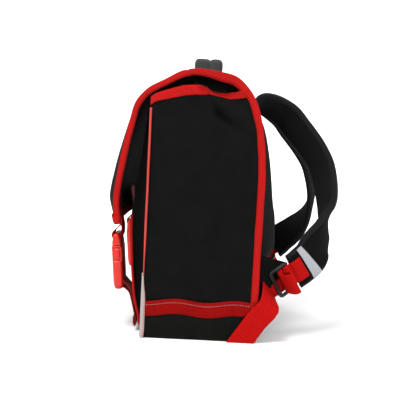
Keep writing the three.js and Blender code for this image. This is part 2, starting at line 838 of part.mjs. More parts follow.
// Middle of each shoulder strap: back is a share of the strap's reach behind the bag, up of the crest's
// height, out of the bag's half width; turn tilts its width, in degrees
const strapRows = [
  { back: 0, up: 0.888, out: 0.276, turn: 0 },
  { back: 0.03, up: 0.903, out: 0.28, turn: 20 },
  { back: 0.34, up: 0.863, out: 0.303, turn: 30 },
  { back: 0.54, up: 0.801, out: 0.338, turn: 30 },
  { back: 0.74, up: 0.731, out: 0.379, turn: 27 },
  { back: 0.87, up: 0.669, out: 0.414, turn: 23 },
  { back: 0.93, up: 0.613, out: 0.434, turn: 20 },
  { back: 0.965, up: 0.549, out: 0.455, turn: 16 },
];
const strapEnds = {
  right: [
    { back: 0.97, up: 0.504, out: 0.479, turn: 10 },
    { back: 0.937, up: 0.452, out: 0.52, turn: -8 },
    { back: 0.905, up: 0.407, out: 0.572, turn: -32 },
    { back: 0.82, up: 0.36, out: 0.634, turn: -55 },
    { back: 0.73, up: 0.31, out: 0.69, turn: -76 },
    { back: 0.6, up: 0.277, out: 0.731, turn: -82 },
    { back: 0.49, up: 0.256, out: 0.775, turn: -80 },
  ],
  left: [
    { back: 0.95, up: 0.482, out: 0.476, turn: 8 },
    { back: 0.87, up: 0.42, out: 0.503, turn: -8 },
    { back: 0.73, up: 0.366, out: 0.545, turn: -35 },
    { back: 0.56, up: 0.322, out: 0.593, turn: -50 },
    { back: 0.42, up: 0.283, out: 0.641, turn: -58 },
  ],
};

// The run of one strap, drawn on the right side: its point, width and outer face at any share
function strapRun(side) {
  const rows = [...strapRows, ...strapEnds[side]];
  const points = rows.map(({ back, up, out }) => {
    return new THREE.Vector3(out * halfWidth, backFace + back * strapReach, up * crestHeight);
  });
  const rootFoot = points[0].z - strapThickness * strapEndShare;
  points[0].y = onCover(stopAtHeight(rootFoot, paddedWall / 2), paddedWall / 2).x + clearance;
  const path = new THREE.CatmullRomCurve3(points, false, 'centripetal');
  const turns = rows.map(({ turn }, i) => ({ at: i / (rows.length - 1), turn }));
  const turnAt = reader(turns, 'at', 'turn');
  return (share) => {
    const t = Math.min(1, Math.max(0, share));
    const at = path.getPoint(t);
    const run = path.getTangent(t);
    const out = new THREE.Vector3(1, 0, 0).cross(run).normalize();
    const level = run.clone().cross(out);
    const angle = THREE.MathUtils.degToRad(turnAt(t));
    const wide = level.clone().multiplyScalar(Math.cos(angle)).addScaledVector(out, Math.sin(angle));
    const face = out.clone().multiplyScalar(Math.cos(angle)).addScaledVector(level, -Math.sin(angle));
    return { at, run, wide, face };
  };
}

function strapWidthAt(share) {
  return mix(strapWidth, strapEndWidth, smooth(0.6, 1, share));
}

// Half thickness of the padded strap, thin at its sewn edges and ends
const strapEndShare = 0.45;

function strapHalf(side, share) {
  const round = Math.sqrt(Math.max(0, 1 - (2 * side - 1) ** 6));
  const ends = mix(strapEndShare, 1, smooth(0, 0.05, Math.min(share, 1 - share)));
  return (strapThickness / 2) * ends * (0.35 + 0.65 * round);
}

function makeStrap(side) {
  const run = strapRun(side);
  const strap = shaped([6, 22, 1], (across, along, depth) => {
    const { at, wide, face } = run(along);
    at.addScaledVector(wide, strapWidthAt(along) * (across - 0.5));
    return at.addScaledVector(face, strapHalf(across, along) * (2 * depth - 1));
  });
  piece(`shoulder_strap_${side}`, onSide(side, strap), mesh);

  const reflector = shaped([6, 2, 1], (across, share, depth) => {
    const middle = 1 - reflectorFromEnd / strapLength;
    const along = middle + (reflectiveWidth / strapLength) * (share - 0.5);
    const { at, wide, face } = run(along);
    const place = mix(-0.5, 0.5, across) * (strapWidthAt(along) - 2 * tapeThickness);
    at.addScaledVector(wide, place);
    const under = strapHalf(0.5 + place / strapWidthAt(along), along);
    return at.addScaledVector(face, under + 2 * clearance + depth);
  });
  piece(`strap_reflector_${side}`, onSide(side, reflector), silver);
}

function onSide(side, geometry) {
  return side === 'right' ? geometry : mirrored(geometry);
}

// The adjuster that hangs from a strap's end, in a frame whose down runs on along the strap
function makeAdjuster(side) {
  const run = strapRun(side);
  const end = run(1);
  const station = (down, out) => {
    const at = end.at.clone().addScaledVector(end.run, down).addScaledVector(end.face, out);
    return { at, wide: end.wide };
  };
  const onStrap = (share, out) => {
    const { at, wide, face } = run(share);
    return { at: at.addScaledVector(face, out), wide };
  };

  const width = adjusterWebbing + 2 * lockRim;
  const edges = { upper: lockGap + lockBar, middle: lockGap + lockBar + upperSlot };
  edges.lower = edges.middle + lockBar;
  const slots = [
    block(0, edges.upper + upperSlot / 2, 0, adjusterWebbing + 2, upperSlot, 3 * lockThickness),
    block(0, edges.lower + lowerSlot / 2, 0, adjusterWebbing + 2, lowerSlot, 3 * lockThickness),
  ];
  const plate = slab(roundedRectangle(width, lockLength, lockRim), lockThickness);
  plate.translate(0, lockGap + lockLength / 2, -lockThickness / 2);
  const lock = carve(plate, ...slots);
  lock.applyMatrix4(new THREE.Matrix4().makeBasis(end.wide, end.run, end.face));
  lock.translate(end.at.x, end.at.y, end.at.z);
  piece(`ladder_lock_${side}`, onSide(side, volume(lock) < 0 ? turnedInsideOut(lock) : lock), blackPlastic);

  // Half turns of webbing round a bar, as places down the adjuster and out from its middle
  const off = lockThickness / 2 + clearance + webbingThickness / 2;
  const halfTurn = (centre, way) => [0, 45, 90, 135, 180].map((degrees) => {
    const angle = THREE.MathUtils.degToRad(degrees);
    return station(centre + way * off * Math.sin(angle), -off * Math.cos(angle));
  });
  const seat = strapThickness / 2 + 2 * clearance + webbingThickness / 2;
  const share = (length) => 1 - length / strapLength;
  const patch = [
    onStrap(share(patchLength), seat),
    onStrap(share(patchLength / 2), seat),
    onStrap(1, seat - 1.4),
    station(lockGap / 2, off + 0.6),
    ...halfTurn(edges.upper + clearance, 1).reverse(),
    station(lockGap + clearance, -off),
    station(lockGap / 2, -off),
  ];
  piece(`strap_end_webbing_${side}`, onSide(side, band(patch, adjusterWebbing, 26)), darkRed);

  // Lower webbing: out of the bag's bottom corner, up to the lock, round its middle bar and out as a folded tail
  const outside = halfWidth + 3 * clearance + tapeThickness + webbingThickness / 2;
  const corner = [
    { at: new THREE.Vector3(outside, backFace * 0.6, -14), wide: new THREE.Vector3(0, -0.72, 0.7) },
    { at: new THREE.Vector3(outside, backFace * 0.75, 2), wide: new THREE.Vector3(0, -0.72, 0.7) },
    { at: new THREE.Vector3(outside, backFace * 0.91, 17), wide: new THREE.Vector3(0, -0.74, 0.68) },
    { at: new THREE.Vector3(outside, backFace * 1.07, 31), wide: new THREE.Vector3(0, -0.78, 0.62) },
    { at: new THREE.Vector3(outside + 1, backFace * 1.27, 44), wide: new THREE.Vector3(0, -0.66, 0.75) },
  ];
  const turn = edges.middle - clearance;
  const tail = edges.lower;
  const loop = [
    station(lockLength + lockGap + 6, -off - 1),
    station(lockLength + lockGap, -off),
    station(tail, -off),
    ...halfTurn(turn, -1),
    station(tail + 1, off + 2.5),
    station(tail + 2.5, off + 7),
    station(tail + 2.5, off + tailLength / 2),
    station(tail + 2.5, off + tailLength - 3),
    station(tail + 0.5, off + tailLength),
    station(tail - 1.5, off + tailLength - 3),
    station(tail - 1.5, off + tailLength / 2),
    station(tail - 1.5, off + 9),
  ];
  const strip = band([...corner, ...loop], adjusterWebbing, 48);
  const below = block(halfWidth, 0, clearance - bodyDepth, 4 * bodyDepth, 4 * bodyDepth, 2 * bodyDepth);
  piece(`lower_webbing_${side}`, onSide(side, carve(strip, below)), red);
}

// Cloth wing at the bottom corner of the back: a triangle between the bag and the webbing
function makeWings() {
  const wing = shaped([4, 6, 1], (out, up, depth) => {
    const z = mix(trayHeight + 2 * clearance, trayHeight + wingHeight, up);
    const reach = wingReach * (1 - Math.abs(2 * up - 1) ** 1.3) * out;
    const seat = onCover(stopAtHeight(z, bindingWidth / 2), bindingWidth / 2).x + clearance;
    const x = coverHalf - wingInset - reach * 1.2 + tapeThickness * depth;
    return new THREE.Vector3(x, seat + reach, z - reach * 0.25);
  });
  pair('webbing_wing', wing, black);
}

makeSidePanels();
makeFrontPanel();
makeCover();
makeBindings();
makeBase();
makeSideBands();
makeFrontPiping();
makeReflectiveStrips();
makePocket();
makeBuckles();
makeClosureWebbing();
makeHandle();
makeBackPad();
for (const side of ['right', 'left']) {
  makeStrap(side);
  makeAdjuster(side);
}
makeWings();

export default bag;
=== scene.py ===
import math
import bmesh
import bpy
from mathutils import Matrix, Vector, noise


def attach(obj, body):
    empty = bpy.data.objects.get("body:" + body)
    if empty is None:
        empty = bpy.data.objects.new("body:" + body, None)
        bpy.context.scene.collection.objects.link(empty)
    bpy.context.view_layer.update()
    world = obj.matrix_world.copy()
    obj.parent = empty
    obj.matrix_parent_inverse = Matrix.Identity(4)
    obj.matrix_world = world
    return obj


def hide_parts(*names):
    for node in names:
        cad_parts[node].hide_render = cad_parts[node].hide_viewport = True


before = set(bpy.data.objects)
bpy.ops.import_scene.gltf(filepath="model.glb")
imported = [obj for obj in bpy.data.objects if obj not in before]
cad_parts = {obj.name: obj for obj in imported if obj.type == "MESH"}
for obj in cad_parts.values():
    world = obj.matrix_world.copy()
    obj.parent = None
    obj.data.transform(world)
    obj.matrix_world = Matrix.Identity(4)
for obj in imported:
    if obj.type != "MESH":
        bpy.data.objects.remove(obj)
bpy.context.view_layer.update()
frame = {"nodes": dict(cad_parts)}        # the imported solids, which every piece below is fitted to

print("frame loaded")

# Lengths below are in millimetres, as in the solids, and become metres as a piece is finished
mm = 0.001
sideTurn = {"right": 1, "left": -1}


# Shared curves and tables

def mix(a, b, share):
    return a + (b - a) * share


def ramp(low, high, value):
    share = min(1, max(0, (value - low) / (high - low)))
    return share * share * (3 - 2 * share)


def reader(rows):
    # Reads rows of (place, value, ...) at any place between them
    def read(place, column=1):
        if place <= rows[0][0]:
            return rows[0][column]
        for before, after in zip(rows, rows[1:]):
            if place <= after[0]:
                share = (place - before[0]) / (after[0] - before[0])
                return mix(before[column], after[column], share)
        return rows[-1][column]
    return read


def splinePoint(points, share):
    spot = min(max(share, 0), 1) * (len(points) - 1)
    i = min(int(spot), len(points) - 2)
    t = spot - i
    p1, p2 = points[i], points[i + 1]
    p0 = points[i - 1] if i > 0 else 2 * p1 - p2
    p3 = points[i + 2] if i + 2 < len(points) else 2 * p2 - p1
    d1 = math.sqrt((p2 - p1).length) or 1
    d0 = math.sqrt((p1 - p0).length) or d1
    d2 = math.sqrt((p3 - p2).length) or d1
    m1 = ((p1 - p0) / d0 - (p2 - p0) / (d0 + d1) + (p2 - p1) / d1) * d1
    m2 = ((p2 - p1) / d1 - (p3 - p1) / (d1 + d2) + (p3 - p2) / d2) * d1
    square, cube = t * t, t * t * t
    return (p1 * (2 * cube - 3 * square + 1) + m1 * (cube - 2 * square + t)
            + p2 * (3 * square - 2 * cube) + m2 * (cube - square))


def splineRun(points, share):
    step = 0.0005
    ahead = splinePoint(points, min(1, share + step))
    return (ahead - splinePoint(points, max(0, share - step))).normalized()


def pathLength(points):
    return sum((b - a).length for a, b in zip(points, points[1:]))


def ripple(x, y, z, size, seed=0):
    return noise.noise(Vector((x / size + seed, y / size, z / size)))


# Building blocks

def finished(name, bm, material, nodes=(), wall=0):
    # Piece from a mesh in millimetres, with the solids that it stands for and its cloth's thickness
    bmesh.ops.scale(bm, vec=(mm, mm, mm), verts=bm.verts)
    data = bpy.data.meshes.new(name)
    bm.to_mesh(data)
    bm.free()
    data.shade_smooth()
    data.materials.append(material)
    piece = bpy.data.objects.new(name, data)
    bpy.context.scene.collection.objects.link(piece)
    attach(piece, "root")
    if nodes:
        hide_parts(*nodes)
    if wall:
        thicken(piece, wall)
    return piece


def thicken(piece, thickness, offset=-1):
    wall = piece.modifiers.new("wall", "SOLIDIFY")
    wall.thickness, wall.offset, wall.use_even_offset = thickness * mm, offset, True


def sided(bm, side):
    # Mirrors a mesh that is drawn on the right
    if side == "left":
        bmesh.ops.scale(bm, vec=(-1, 1, 1), verts=bm.verts)
        bmesh.ops.reverse_faces(bm, faces=bm.faces)
    return bm


def perSide(name, build, node, material, slot, wall=0):
    # A piece on each side, where build gets the side
    for side in sideTurn:
        nodes = [f"{node}_{side}"] if node else []
        finished(f"{name}_{side}", sided(build(side), side), material, nodes, wall)


def bothSides(name, build, *rest):
    # The same piece on the right and, mirrored, on the left
    perSide(name, lambda side: build(), *rest)


def cutBeyond(bm, spot, away):
    # Takes off what lies past a plane
    bmesh.ops.bisect_plane(bm, geom=bm.verts[:] + bm.edges[:] + bm.faces[:], dist=0.0001, plane_co=spot,
                           plane_no=away, clear_outer=True)


def clothGrid(columns, rows, place, flat):
    # Grid of cloth: place gets the shares across and along, flat is its cut size for the weave
    bm = bmesh.new()
    bmesh.ops.create_grid(bm, x_segments=columns, y_segments=rows, size=0.5)
    weave = bm.loops.layers.uv.new("UVMap")
    for face in bm.faces:
        for loop in face.loops:
            spot = loop.vert.co
            loop[weave].uv = ((spot.x + 0.5) * flat[0] * mm, (spot.y + 0.5) * flat[1] * mm)
    for vert in bm.verts:
        vert.co = place(vert.co.x + 0.5, vert.co.y + 0.5)
    return bm


def outwardFaces(bm, outside):
    # Turns the faces so that the middle one looks along outside
    bm.faces.ensure_lookup_table()
    bm.normal_update()
    lean = sum(face.normal.dot(outside(face.calc_center_median())) * face.calc_area() for face in bm.faces)
    if lean < 0:
        bmesh.ops.reverse_faces(bm, faces=bm.faces)
    return bm


def sweptLoop(profile, rows, place, flat):
    # Closed profile of (across, out) pairs carried along a run: place gets across, out and the share along
    sides = len(profile)
    bm = bmesh.new()
    bmesh.ops.create_grid(bm, x_segments=sides, y_segments=rows, size=0.5)
    weave = bm.loops.layers.uv.new("UVMap")
    lengths = [0]
    for i in range(sides):
        a, b = profile[i], profile[(i + 1) % sides]
        lengths.append(lengths[-1] + math.hypot(b[0] - a[0], b[1] - a[1]))
    for face in bm.faces:
        for loop in face.loops:
            corner = round((loop.vert.co.x + 0.5) * sides)
            loop[weave].uv = (lengths[corner] * mm, (loop.vert.co.y + 0.5) * flat * mm)
    for vert in bm.verts:
        across, out = profile[round((vert.co.x + 0.5) * sides) % sides]
        vert.co = place(across, out, vert.co.y + 0.5)
    bmesh.ops.remove_doubles(bm, verts=bm.verts, dist=0.001)
    bmesh.ops.holes_fill(bm, edges=[edge for edge in bm.edges if edge.is_boundary], sides=0)
    bmesh.ops.recalc_face_normals(bm, faces=bm.faces)
    return bm


def flatProfile(width, thickness, columns=8, edge=0.35):
    # Section of a woven band: flat faces and rounded selvedges
    half, thick = width / 2, thickness / 2
    top = [(mix(-half + edge, half - edge, i / columns), thick) for i in range(columns + 1)]
    bottom = [(x, -out) for x, out in reversed(top)]
    return top + [(half, 0)] + bottom + [(-half, 0)]


def bandAlong(stations, profile, rows):
    # Band through stations of (point, direction of its width)
    points = [Vector(at) for at, wide in stations]
    wides = [Vector(wide) for at, wide in stations]
    length = pathLength(points)
    frames = {}

    def frameAt(share):
        key = round(share, 5)
        if key not in frames:
            at, run = splinePoint(points, share), splineRun(points, share)
            wide = splinePoint(wides, share)
            wide = (wide - run * wide.dot(run)).normalized()
            frames[key] = at, wide, run.cross(wide)
        return frames[key]

    def place(across, out, share):
        at, wide, face = frameAt(share)
        return at + wide * across + face * out

    return sweptLoop(profile, rows, place, length)


def stitchLine(bm, points, faces, length, gap, width):
    # Row of separate stitches along points, each lying on its face direction
    points = [Vector(at) for at in points]
    faces = [Vector(out) for out in faces]
    travelled, due = 0, gap
    for a, b, faceA, faceB in zip(points, points[1:], faces, faces[1:]):
        run = b - a
        while run.length > 0 and due <= travelled + run.length:
            share = (due - travelled) / run.length
            at = a + run * share
            out = faceA.lerp(faceB, share).normalized()
            along = run.normalized()
            side = out.cross(along).normalized()
            out = along.cross(side)
            turn = Matrix((along, side, out)).transposed().to_4x4()
            size = Matrix.Diagonal((length / 2, width / 2, width / 2.6, 1))
            place = Matrix.Translation(at) @ turn @ size
            bmesh.ops.create_icosphere(bm, subdivisions=1, radius=1, matrix=place)
            due += length + gap
        travelled += run.length
    return bm


# Materials

def addNode(tree, kind, inputs=None, **settings):
    made = tree.nodes.new("ShaderNode" + kind)
    for key, value in settings.items():
        setattr(made, key, value)
    for key, value in (inputs or {}).items():
        if isinstance(value, bpy.types.NodeSocket):
            tree.links.new(value, made.inputs[key])
        else:
            made.inputs[key].default_value = value
    return made


def maths(tree, operation, a, b=0.0):
    return addNode(tree, "Math", {0: a, 1: b}, operation=operation).outputs[0]


def sineOf(tree, value, factor):
    return maths(tree, "SINE", maths(tree, "MULTIPLY", value, factor))


def unevenness(tree, place, scale, detail):
    return addNode(tree, "TexNoise", {"Vector": place, "Scale": scale, "Detail": detail}).outputs["Fac"]


def setSurface(tree, shader, colour, height, strength, depth):
    bump = addNode(tree, "Bump", {"Height": height, "Strength": strength, "Distance": depth * mm})
    tree.links.new(colour, shader.inputs["Base Color"])
    tree.links.new(bump.outputs["Normal"], shader.inputs["Normal"])


def startMaterial(name, roughness, specular=0.5, sheen=0.0, coat=0.0, metallic=0.0):
    material = bpy.data.materials.new(name)
    material.use_nodes = True
    tree = material.node_tree
    shader = tree.nodes["Principled BSDF"]
    for key, value in (("Roughness", roughness), ("Specular IOR Level", specular), ("Sheen Weight", sheen),
                       ("Coat Weight", coat), ("Metallic", metallic)):
        shader.inputs[key].default_value = value
    return material, tree, shader


def colourBetween(tree, factor, low, high):
    made = addNode(tree, "Mix", {"Factor": factor}, data_type="RGBA")
    made.inputs[6].default_value = (*low, 1)
    made.inputs[7].default_value = (*high, 1)
    return made.outputs[2]


def wovenMaterial(name, low, high, pitch, style, depth, roughness, specular, sheen=0.0, patches=0.35,
                  grain=0.35):
    # Woven cloth or tape on the piece's own map, which is in metres: style is plain, twill or ribbed.
    # patches and grain are the shares of cloudy and of fine unevenness in the colour
    material, tree, shader = startMaterial(name, roughness, specular, sheen)
    weaveMap = addNode(tree, "UVMap", uv_map="UVMap").outputs["UV"]
    parts = addNode(tree, "SeparateXYZ", {"Vector": weaveMap})
    across, along = parts.outputs["X"], parts.outputs["Y"]
    turn = 2 * math.pi / (pitch * mm)
    waveAcross, waveAlong = sineOf(tree, across, turn), sineOf(tree, along, turn)
    if style == "plain":
        threads = maths(tree, "MULTIPLY", waveAcross, waveAlong)
    elif style == "twill":
        threads = sineOf(tree, maths(tree, "ADD", across, along), turn)
    else:
        ribs = maths(tree, "ABSOLUTE", sineOf(tree, along, turn / 2))
        threads = maths(tree, "ADD", ribs, maths(tree, "MULTIPLY", waveAcross, 0.35))
    fibre = unevenness(tree, weaveMap, 1100.0, 2.0)
    cloudy = unevenness(tree, addNode(tree, "TexCoord").outputs["Object"], 34.0, 3.0)
    height = maths(tree, "ADD", maths(tree, "MULTIPLY", threads, 0.5), fibre)
    lift = maths(tree, "MULTIPLY_ADD", threads, 0.22)
    lift.node.inputs[2].default_value = 0.5 - grain / 2 - patches / 2
    lift = maths(tree, "ADD", lift, maths(tree, "MULTIPLY", fibre, grain))
    lift = maths(tree, "ADD", lift, maths(tree, "MULTIPLY", cloudy, patches))
    lift = maths(tree, "MINIMUM", maths(tree, "MAXIMUM", lift, 0.0), 1.0)
    setSurface(tree, shader, colourBetween(tree, lift, low, high), height, 0.7, depth)
    return material


def mouldedMaterial(name, low, high, roughness, specular, coat=0.0, grain=0.05, grainSize=900.0):
    # Moulded plastic or rubber: faint flow marks in the colour and a fine grain in the surface
    material, tree, shader = startMaterial(name, roughness, specular, coat=coat)
    place = addNode(tree, "TexCoord").outputs["Object"]
    flow = unevenness(tree, place, 60.0, 3.0)
    spread = maths(tree, "MULTIPLY_ADD", flow, 0.18)
    spread.node.inputs[2].default_value = roughness - 0.09
    tree.links.new(spread, shader.inputs["Roughness"])
    setSurface(tree, shader, colourBetween(tree, flow, low, high), unevenness(tree, place, grainSize, 2.0),
               0.5, grain)
    return material


def reflectiveMaterial(name, low, high, pitch, metallic=0.25):
    # Ribbed silver tape: fine ribs across its length
    material, tree, shader = startMaterial(name, 0.42, 0.5, metallic=metallic)
    weaveMap = addNode(tree, "UVMap", uv_map="UVMap").outputs["UV"]
    along = addNode(tree, "SeparateXYZ", {"Vector": weaveMap}).outputs["Y"]
    ribs = sineOf(tree, along, 2 * math.pi / (pitch * mm))
    tone = maths(tree, "ADD", maths(tree, "MULTIPLY", ribs, 0.25), unevenness(tree, weaveMap, 700.0, 3.0))
    setSurface(tree, shader, colourBetween(tree, tone, low, high), tone, 0.5, 0.25)
    return material


# Each finish: name, dark and light colour, then the weave's size in mm, style and depth in mm, roughness and
# specular
blackCloth = wovenMaterial("blackCloth", (0.0004, 0.0004, 0.0004), (0.0072, 0.0074, 0.0072), 1.1, "plain",
                           0.5, 0.95, 0.08, grain=0.75)
baseCloth = wovenMaterial("baseCloth", (0.0008, 0.0008, 0.0007), (0.0084, 0.0093, 0.0069), 1.3, "plain", 0.5,
                          0.95, 0.08, grain=0.6)
redTape = wovenMaterial("redTape", (0.2108, 0.003, 0.0025), (0.6, 0.0135, 0.012), 1.6, "twill", 0.6, 0.85,
                        0.06, patches=0.25)
darkTape = wovenMaterial("darkTape", (0.11, 0.0012, 0.001), (0.34, 0.0035, 0.003), 1.6, "twill", 0.35, 0.8,
                         0.05)
redWebbing = wovenMaterial("redWebbing", (0.2, 0.0012, 0.0008), (0.45, 0.0035, 0.0025), 1.8, "ribbed", 0.45,
                           0.75, 0.06, patches=0.2)
# Lighter, pinker copy of the red tape, for the front piping: painted highlight along the cord
highlitPipingTape = wovenMaterial("highlitPipingTape", (0.34, 0.022, 0.016), (0.64, 0.062, 0.045), 1.4, "twill", 0.3, 0.7,
                           0.3, sheen=0.05)
# Darker copy of the red webbing, for the lower closure webbing: painted shade, as that webbing sits in
# shadow under the buckle
paintedShadeWebbing = wovenMaterial("paintedShadeWebbing", (0.08, 0.003, 0.002), (0.26, 0.008, 0.006), 1.8, "ribbed", 0.45,
                            0.7, 0.2, sheen=0.05, patches=0.2)
airMesh = wovenMaterial("airMesh", (0.0006, 0.0006, 0.0007), (0.0086, 0.0086, 0.0096), 0.7, "plain", 0.15,
                        0.75, 0.2, sheen=0.02)
strapTape = wovenMaterial("strapTape", (0.0012, 0.0012, 0.0013), (0.0091, 0.0091, 0.0101), 1.2, "ribbed",
                          0.25, 0.85, 0.15, sheen=0.02)
redPlastic = mouldedMaterial("redPlastic", (0.4836, 0.0084, 0.0042), (0.6552, 0.0224, 0.0102), 0.34, 0.35,
                             coat=0.1)
blackPlastic = mouldedMaterial("blackPlastic", (0.004, 0.004, 0.0045), (0.009, 0.009, 0.01), 0.42, 0.35)
gripRubber = mouldedMaterial("gripRubber", (0.0054, 0.0059, 0.0063), (0.0099, 0.0103, 0.0113), 0.6, 0.3,
                             grain=0.12, grainSize=1400.0)
silverTape = reflectiveMaterial("silverTape", (0.2, 0.22, 0.24), (0.42, 0.44, 0.47), 1.4)
ribbedTape = reflectiveMaterial("ribbedTape", (0.2, 0.17, 0.165), (0.46, 0.42, 0.41), 2.9, 0.05)
greyThread = mouldedMaterial("greyThread", (0.2, 0.19, 0.19), (0.36, 0.34, 0.34), 0.7, 0.2, grain=0.1)
redThread = mouldedMaterial("redThread", (0.42, 0.012, 0.009), (0.68, 0.035, 0.025), 0.7, 0.2, grain=0.1)
print("materials made")


# Body: sizes follow the solids
body = {"width": 290, "depth": 148, "crest": 357, "cloth": 2.5, "padding": 6.4, "trayHeight": 46,
        "bandWidth": 20, "binding": 10, "bindingLap": 9, "tape": 1.5, "mouthTape": 12}
halfWidth, halfDepth = body["width"] / 2, body["depth"] / 2
backFace = halfDepth + body["binding"] / 2
clearance = 0.3    # between pieces that lie on each other

# Line of the back panel and the flap seen from the side: shares of the depth and of the crest's height
coverShares = [
    (0.494, 0.0095), (0.496, 0.13), (0.5, 0.155), (0.503, 0.336), (0.509, 0.49), (0.51, 0.616),
    (0.495, 0.711), (0.456, 0.814), (0.375, 0.903), (0.23, 0.963), (0.097, 0.9755), (-0.05, 0.983),
    (-0.18, 0.9805), (-0.378, 0.9405), (-0.534, 0.9005), (-0.611, 0.857), (-0.65, 0.797), (-0.698, 0.702),
    (-0.748, 0.577), (-0.765, 0.503), (-0.745, 0.415)]
coverPoints = [Vector((0, back * body["depth"], up * body["crest"])) for back, up in coverShares]
lastStop, seamStop = 40, 16    # places along the cover line: the flap's hem and its seam with the back
coverCache = {}


def onCover(stop, outward=0.0):
    # Point of the cover's line at a stop, moved outward
    key = round(stop, 4)
    if key not in coverCache:
        share = key / lastStop
        if share > 1:
            run = splineRun(coverPoints, 1)
            coverCache[key] = splinePoint(coverPoints, 1) + run * (share - 1) * 700, run
        else:
            coverCache[key] = splinePoint(coverPoints, share), splineRun(coverPoints, share)
    at, run = coverCache[key]
    return Vector((0, at.y + run.z * outward, at.z - run.y * outward))


def stopAtHeight(height, outward=0.0):
    low, high = 0, lastStop / 2
    for _ in range(26):
        middle = (low + high) / 2
        if onCover(middle, outward).z < height:
            low = middle
        else:
            high = middle
    return low


hemPitch = (onCover(lastStop) - onCover(lastStop - 1)).length


def stopBeforeHem(distance):
    return lastStop - distance / hemPitch


bindingWeb = halfWidth + body["tape"] - clearance
bindingLip = bindingWeb - body["bindingLap"]
crownHalf = bindingLip - clearance
coverHalf = halfWidth - 2.6
flapCrown = 15
crownAlong = reader([(0, 0), (0.1, 0.12), (0.35, 0.15), (0.55, 0.32), (0.7, 0.62), (0.85, 0.95), (0.92, 1),
                     (1, 0.6)])
flapStop = stopBeforeHem(body["tape"] + clearance)


def crownAcross(x):
    return max(0, 1 - (x / crownHalf) ** 4)


def flapCrownAt(stop):
    return flapCrown * crownAlong((stop - seamStop) / (flapStop - seamStop))


# Side panels: a shallow bulge, the pleat under the mouth and the folds that run from it
sidePanel = {"bulge": 4, "pleatDepth": 9, "pleatLength": 62, "lean": 0.55, "columns": 76, "rows": 150,
             "wall": 2.2}
# Mouth line: place along, height, depth of the pleat and how much of the tape's width stands upright
mouth = reader([
    (0, 0.882, 0, 0.8), (0.05, 0.896, 0, 0.82), (0.174, 0.912, 0, 0.94), (0.339, 0.9285, 0.05, 1),
    (0.45, 0.933, 0.1, 1), (0.556, 0.934, 0.25, 0.95), (0.614, 0.929, 0.6, 0.66), (0.675, 0.913, 1, 0.3),
    (0.743, 0.9115, 1, 0.36), (0.81, 0.911, 0.85, 0.58), (0.925, 0.915, 0.35, 0.62), (1, 0.923, 0, 0.75)])
# Each fold: from, to (Y and Z), how far it stands out and half its width
sideFolds = [
    ((12, 326), (25, 296), -6.5, 6), ((25, 296), (36, 287), -6.0, 6), ((36, 287), (58, 270), -4.0, 6),
    ((27, 312), (52, 296), 4.5, 9), ((2, 318), (14, 280), 2.4, 9), ((-29, 334), (-31, 300), -1.8, 4),
    ((-13, 335), (-11, 300), -1.8, 4), ((-21, 330), (-21, 296), 1.2, 5), ((-44, 326), (-36, 262), -1.6, 9),
    ((-60, 300), (-50, 230), 1.4, 12), ((4, 300), (26, 240), -2.0, 9), ((60, 262), (52, 190), 1.8, 10),
    ((-10, 250), (-34, 170), 1.6, 14), ((-40, 200), (-58, 130), -1.4, 12), ((30, 200), (48, 120), -1.3, 13),
    ((-62, 90), (-30, 64), -1.4, 9), ((50, 110), (30, 70), 1.5, 10), ((-20, 90), (8, 66), 1.2, 9),
    ((66, 150), (60, 90), -1.6, 8)]


def trayTuck(height):
    rim = body["trayHeight"] + clearance
    share = (height - rim) / (body["trayHeight"] + body["bandWidth"] / 2 - rim)
    return 2.3 * (1 - min(1, max(0, share)))


def foldDepth(y, z):
    total = 0
    for (ay, az), (by, bz), depth, half in sideFolds:
        run = Vector((by - ay, bz - az))
        away = Vector((y - ay, z - az))
        share = min(1.15, max(-0.15, away.dot(run) / run.length_squared))
        gap = (away - run * share).length / half
        total += depth * math.exp(-gap * gap) * (1 - 0.55 * max(0, share))
    return total


def mouthTop(along):
    return mouth(along, 1) * body["crest"]


def sideFace(along, height):
    top = mouthTop(along)
    rise = min(1, max(0, height / top))
    bulge = sidePanel["bulge"] * math.sin(math.pi * along) * math.sin(math.pi * rise)
    below = min(1, max(0, (top - height) / sidePanel["pleatLength"]))
    pleat = sidePanel["pleatDepth"] * mouth(along, 2) * (1 - below) ** 2
    free = ramp(body["trayHeight"], body["trayHeight"] + 3 * body["bandWidth"], height)
    y = mix(-halfDepth, halfDepth, along)
    edge = min(1, along * 9, (1 - along) * 9)
    soft = 1.2 * ripple(0, y, height, 31, 3) + 0.5 * ripple(0, y, height, 11, 7)
    upright = mouth(along, 3)
    tape = min(1, (top - height) / (body["mouthTape"] * upright))
    lying = math.sqrt(1 - upright * upright)
    lean = body["mouthTape"] * sidePanel["lean"] * lying * mouth(along, 2) * (1 - tape)
    shape = (foldDepth(y, height) * edge + soft) * free
    return halfWidth - trayTuck(height) + bulge * free - pleat - lean + shape


def sideBack(height):
    inset = -(body["binding"] / 2 + clearance)
    return onCover(stopAtHeight(height, inset), inset).y


def onSide(along, height, outward=0.0):
    y = mix(-halfDepth + trayTuck(height), sideBack(min(height, mouthTop(1))) + 1.2, along)
    return Vector((sideFace(along, height) + outward, y, height))


def sidePanelGrid():
    def place(along, up):
        return onSide(along, mix(3.3, mouthTop(along) - 0.4, up))
    bm = clothGrid(sidePanel["columns"], sidePanel["rows"], place, (body["depth"], 335))
    return outwardFaces(bm, lambda at: Vector((1, 0, 0)))


bothSides("sideCloth", sidePanelGrid, "side_panel", blackCloth, "black_cloth", sidePanel["wall"])

# Red tape folded over the side panels' upper edge
mouthTape = {"width": 12, "thickness": 1.0, "over": 2.2, "columns": 16, "rows": 90}


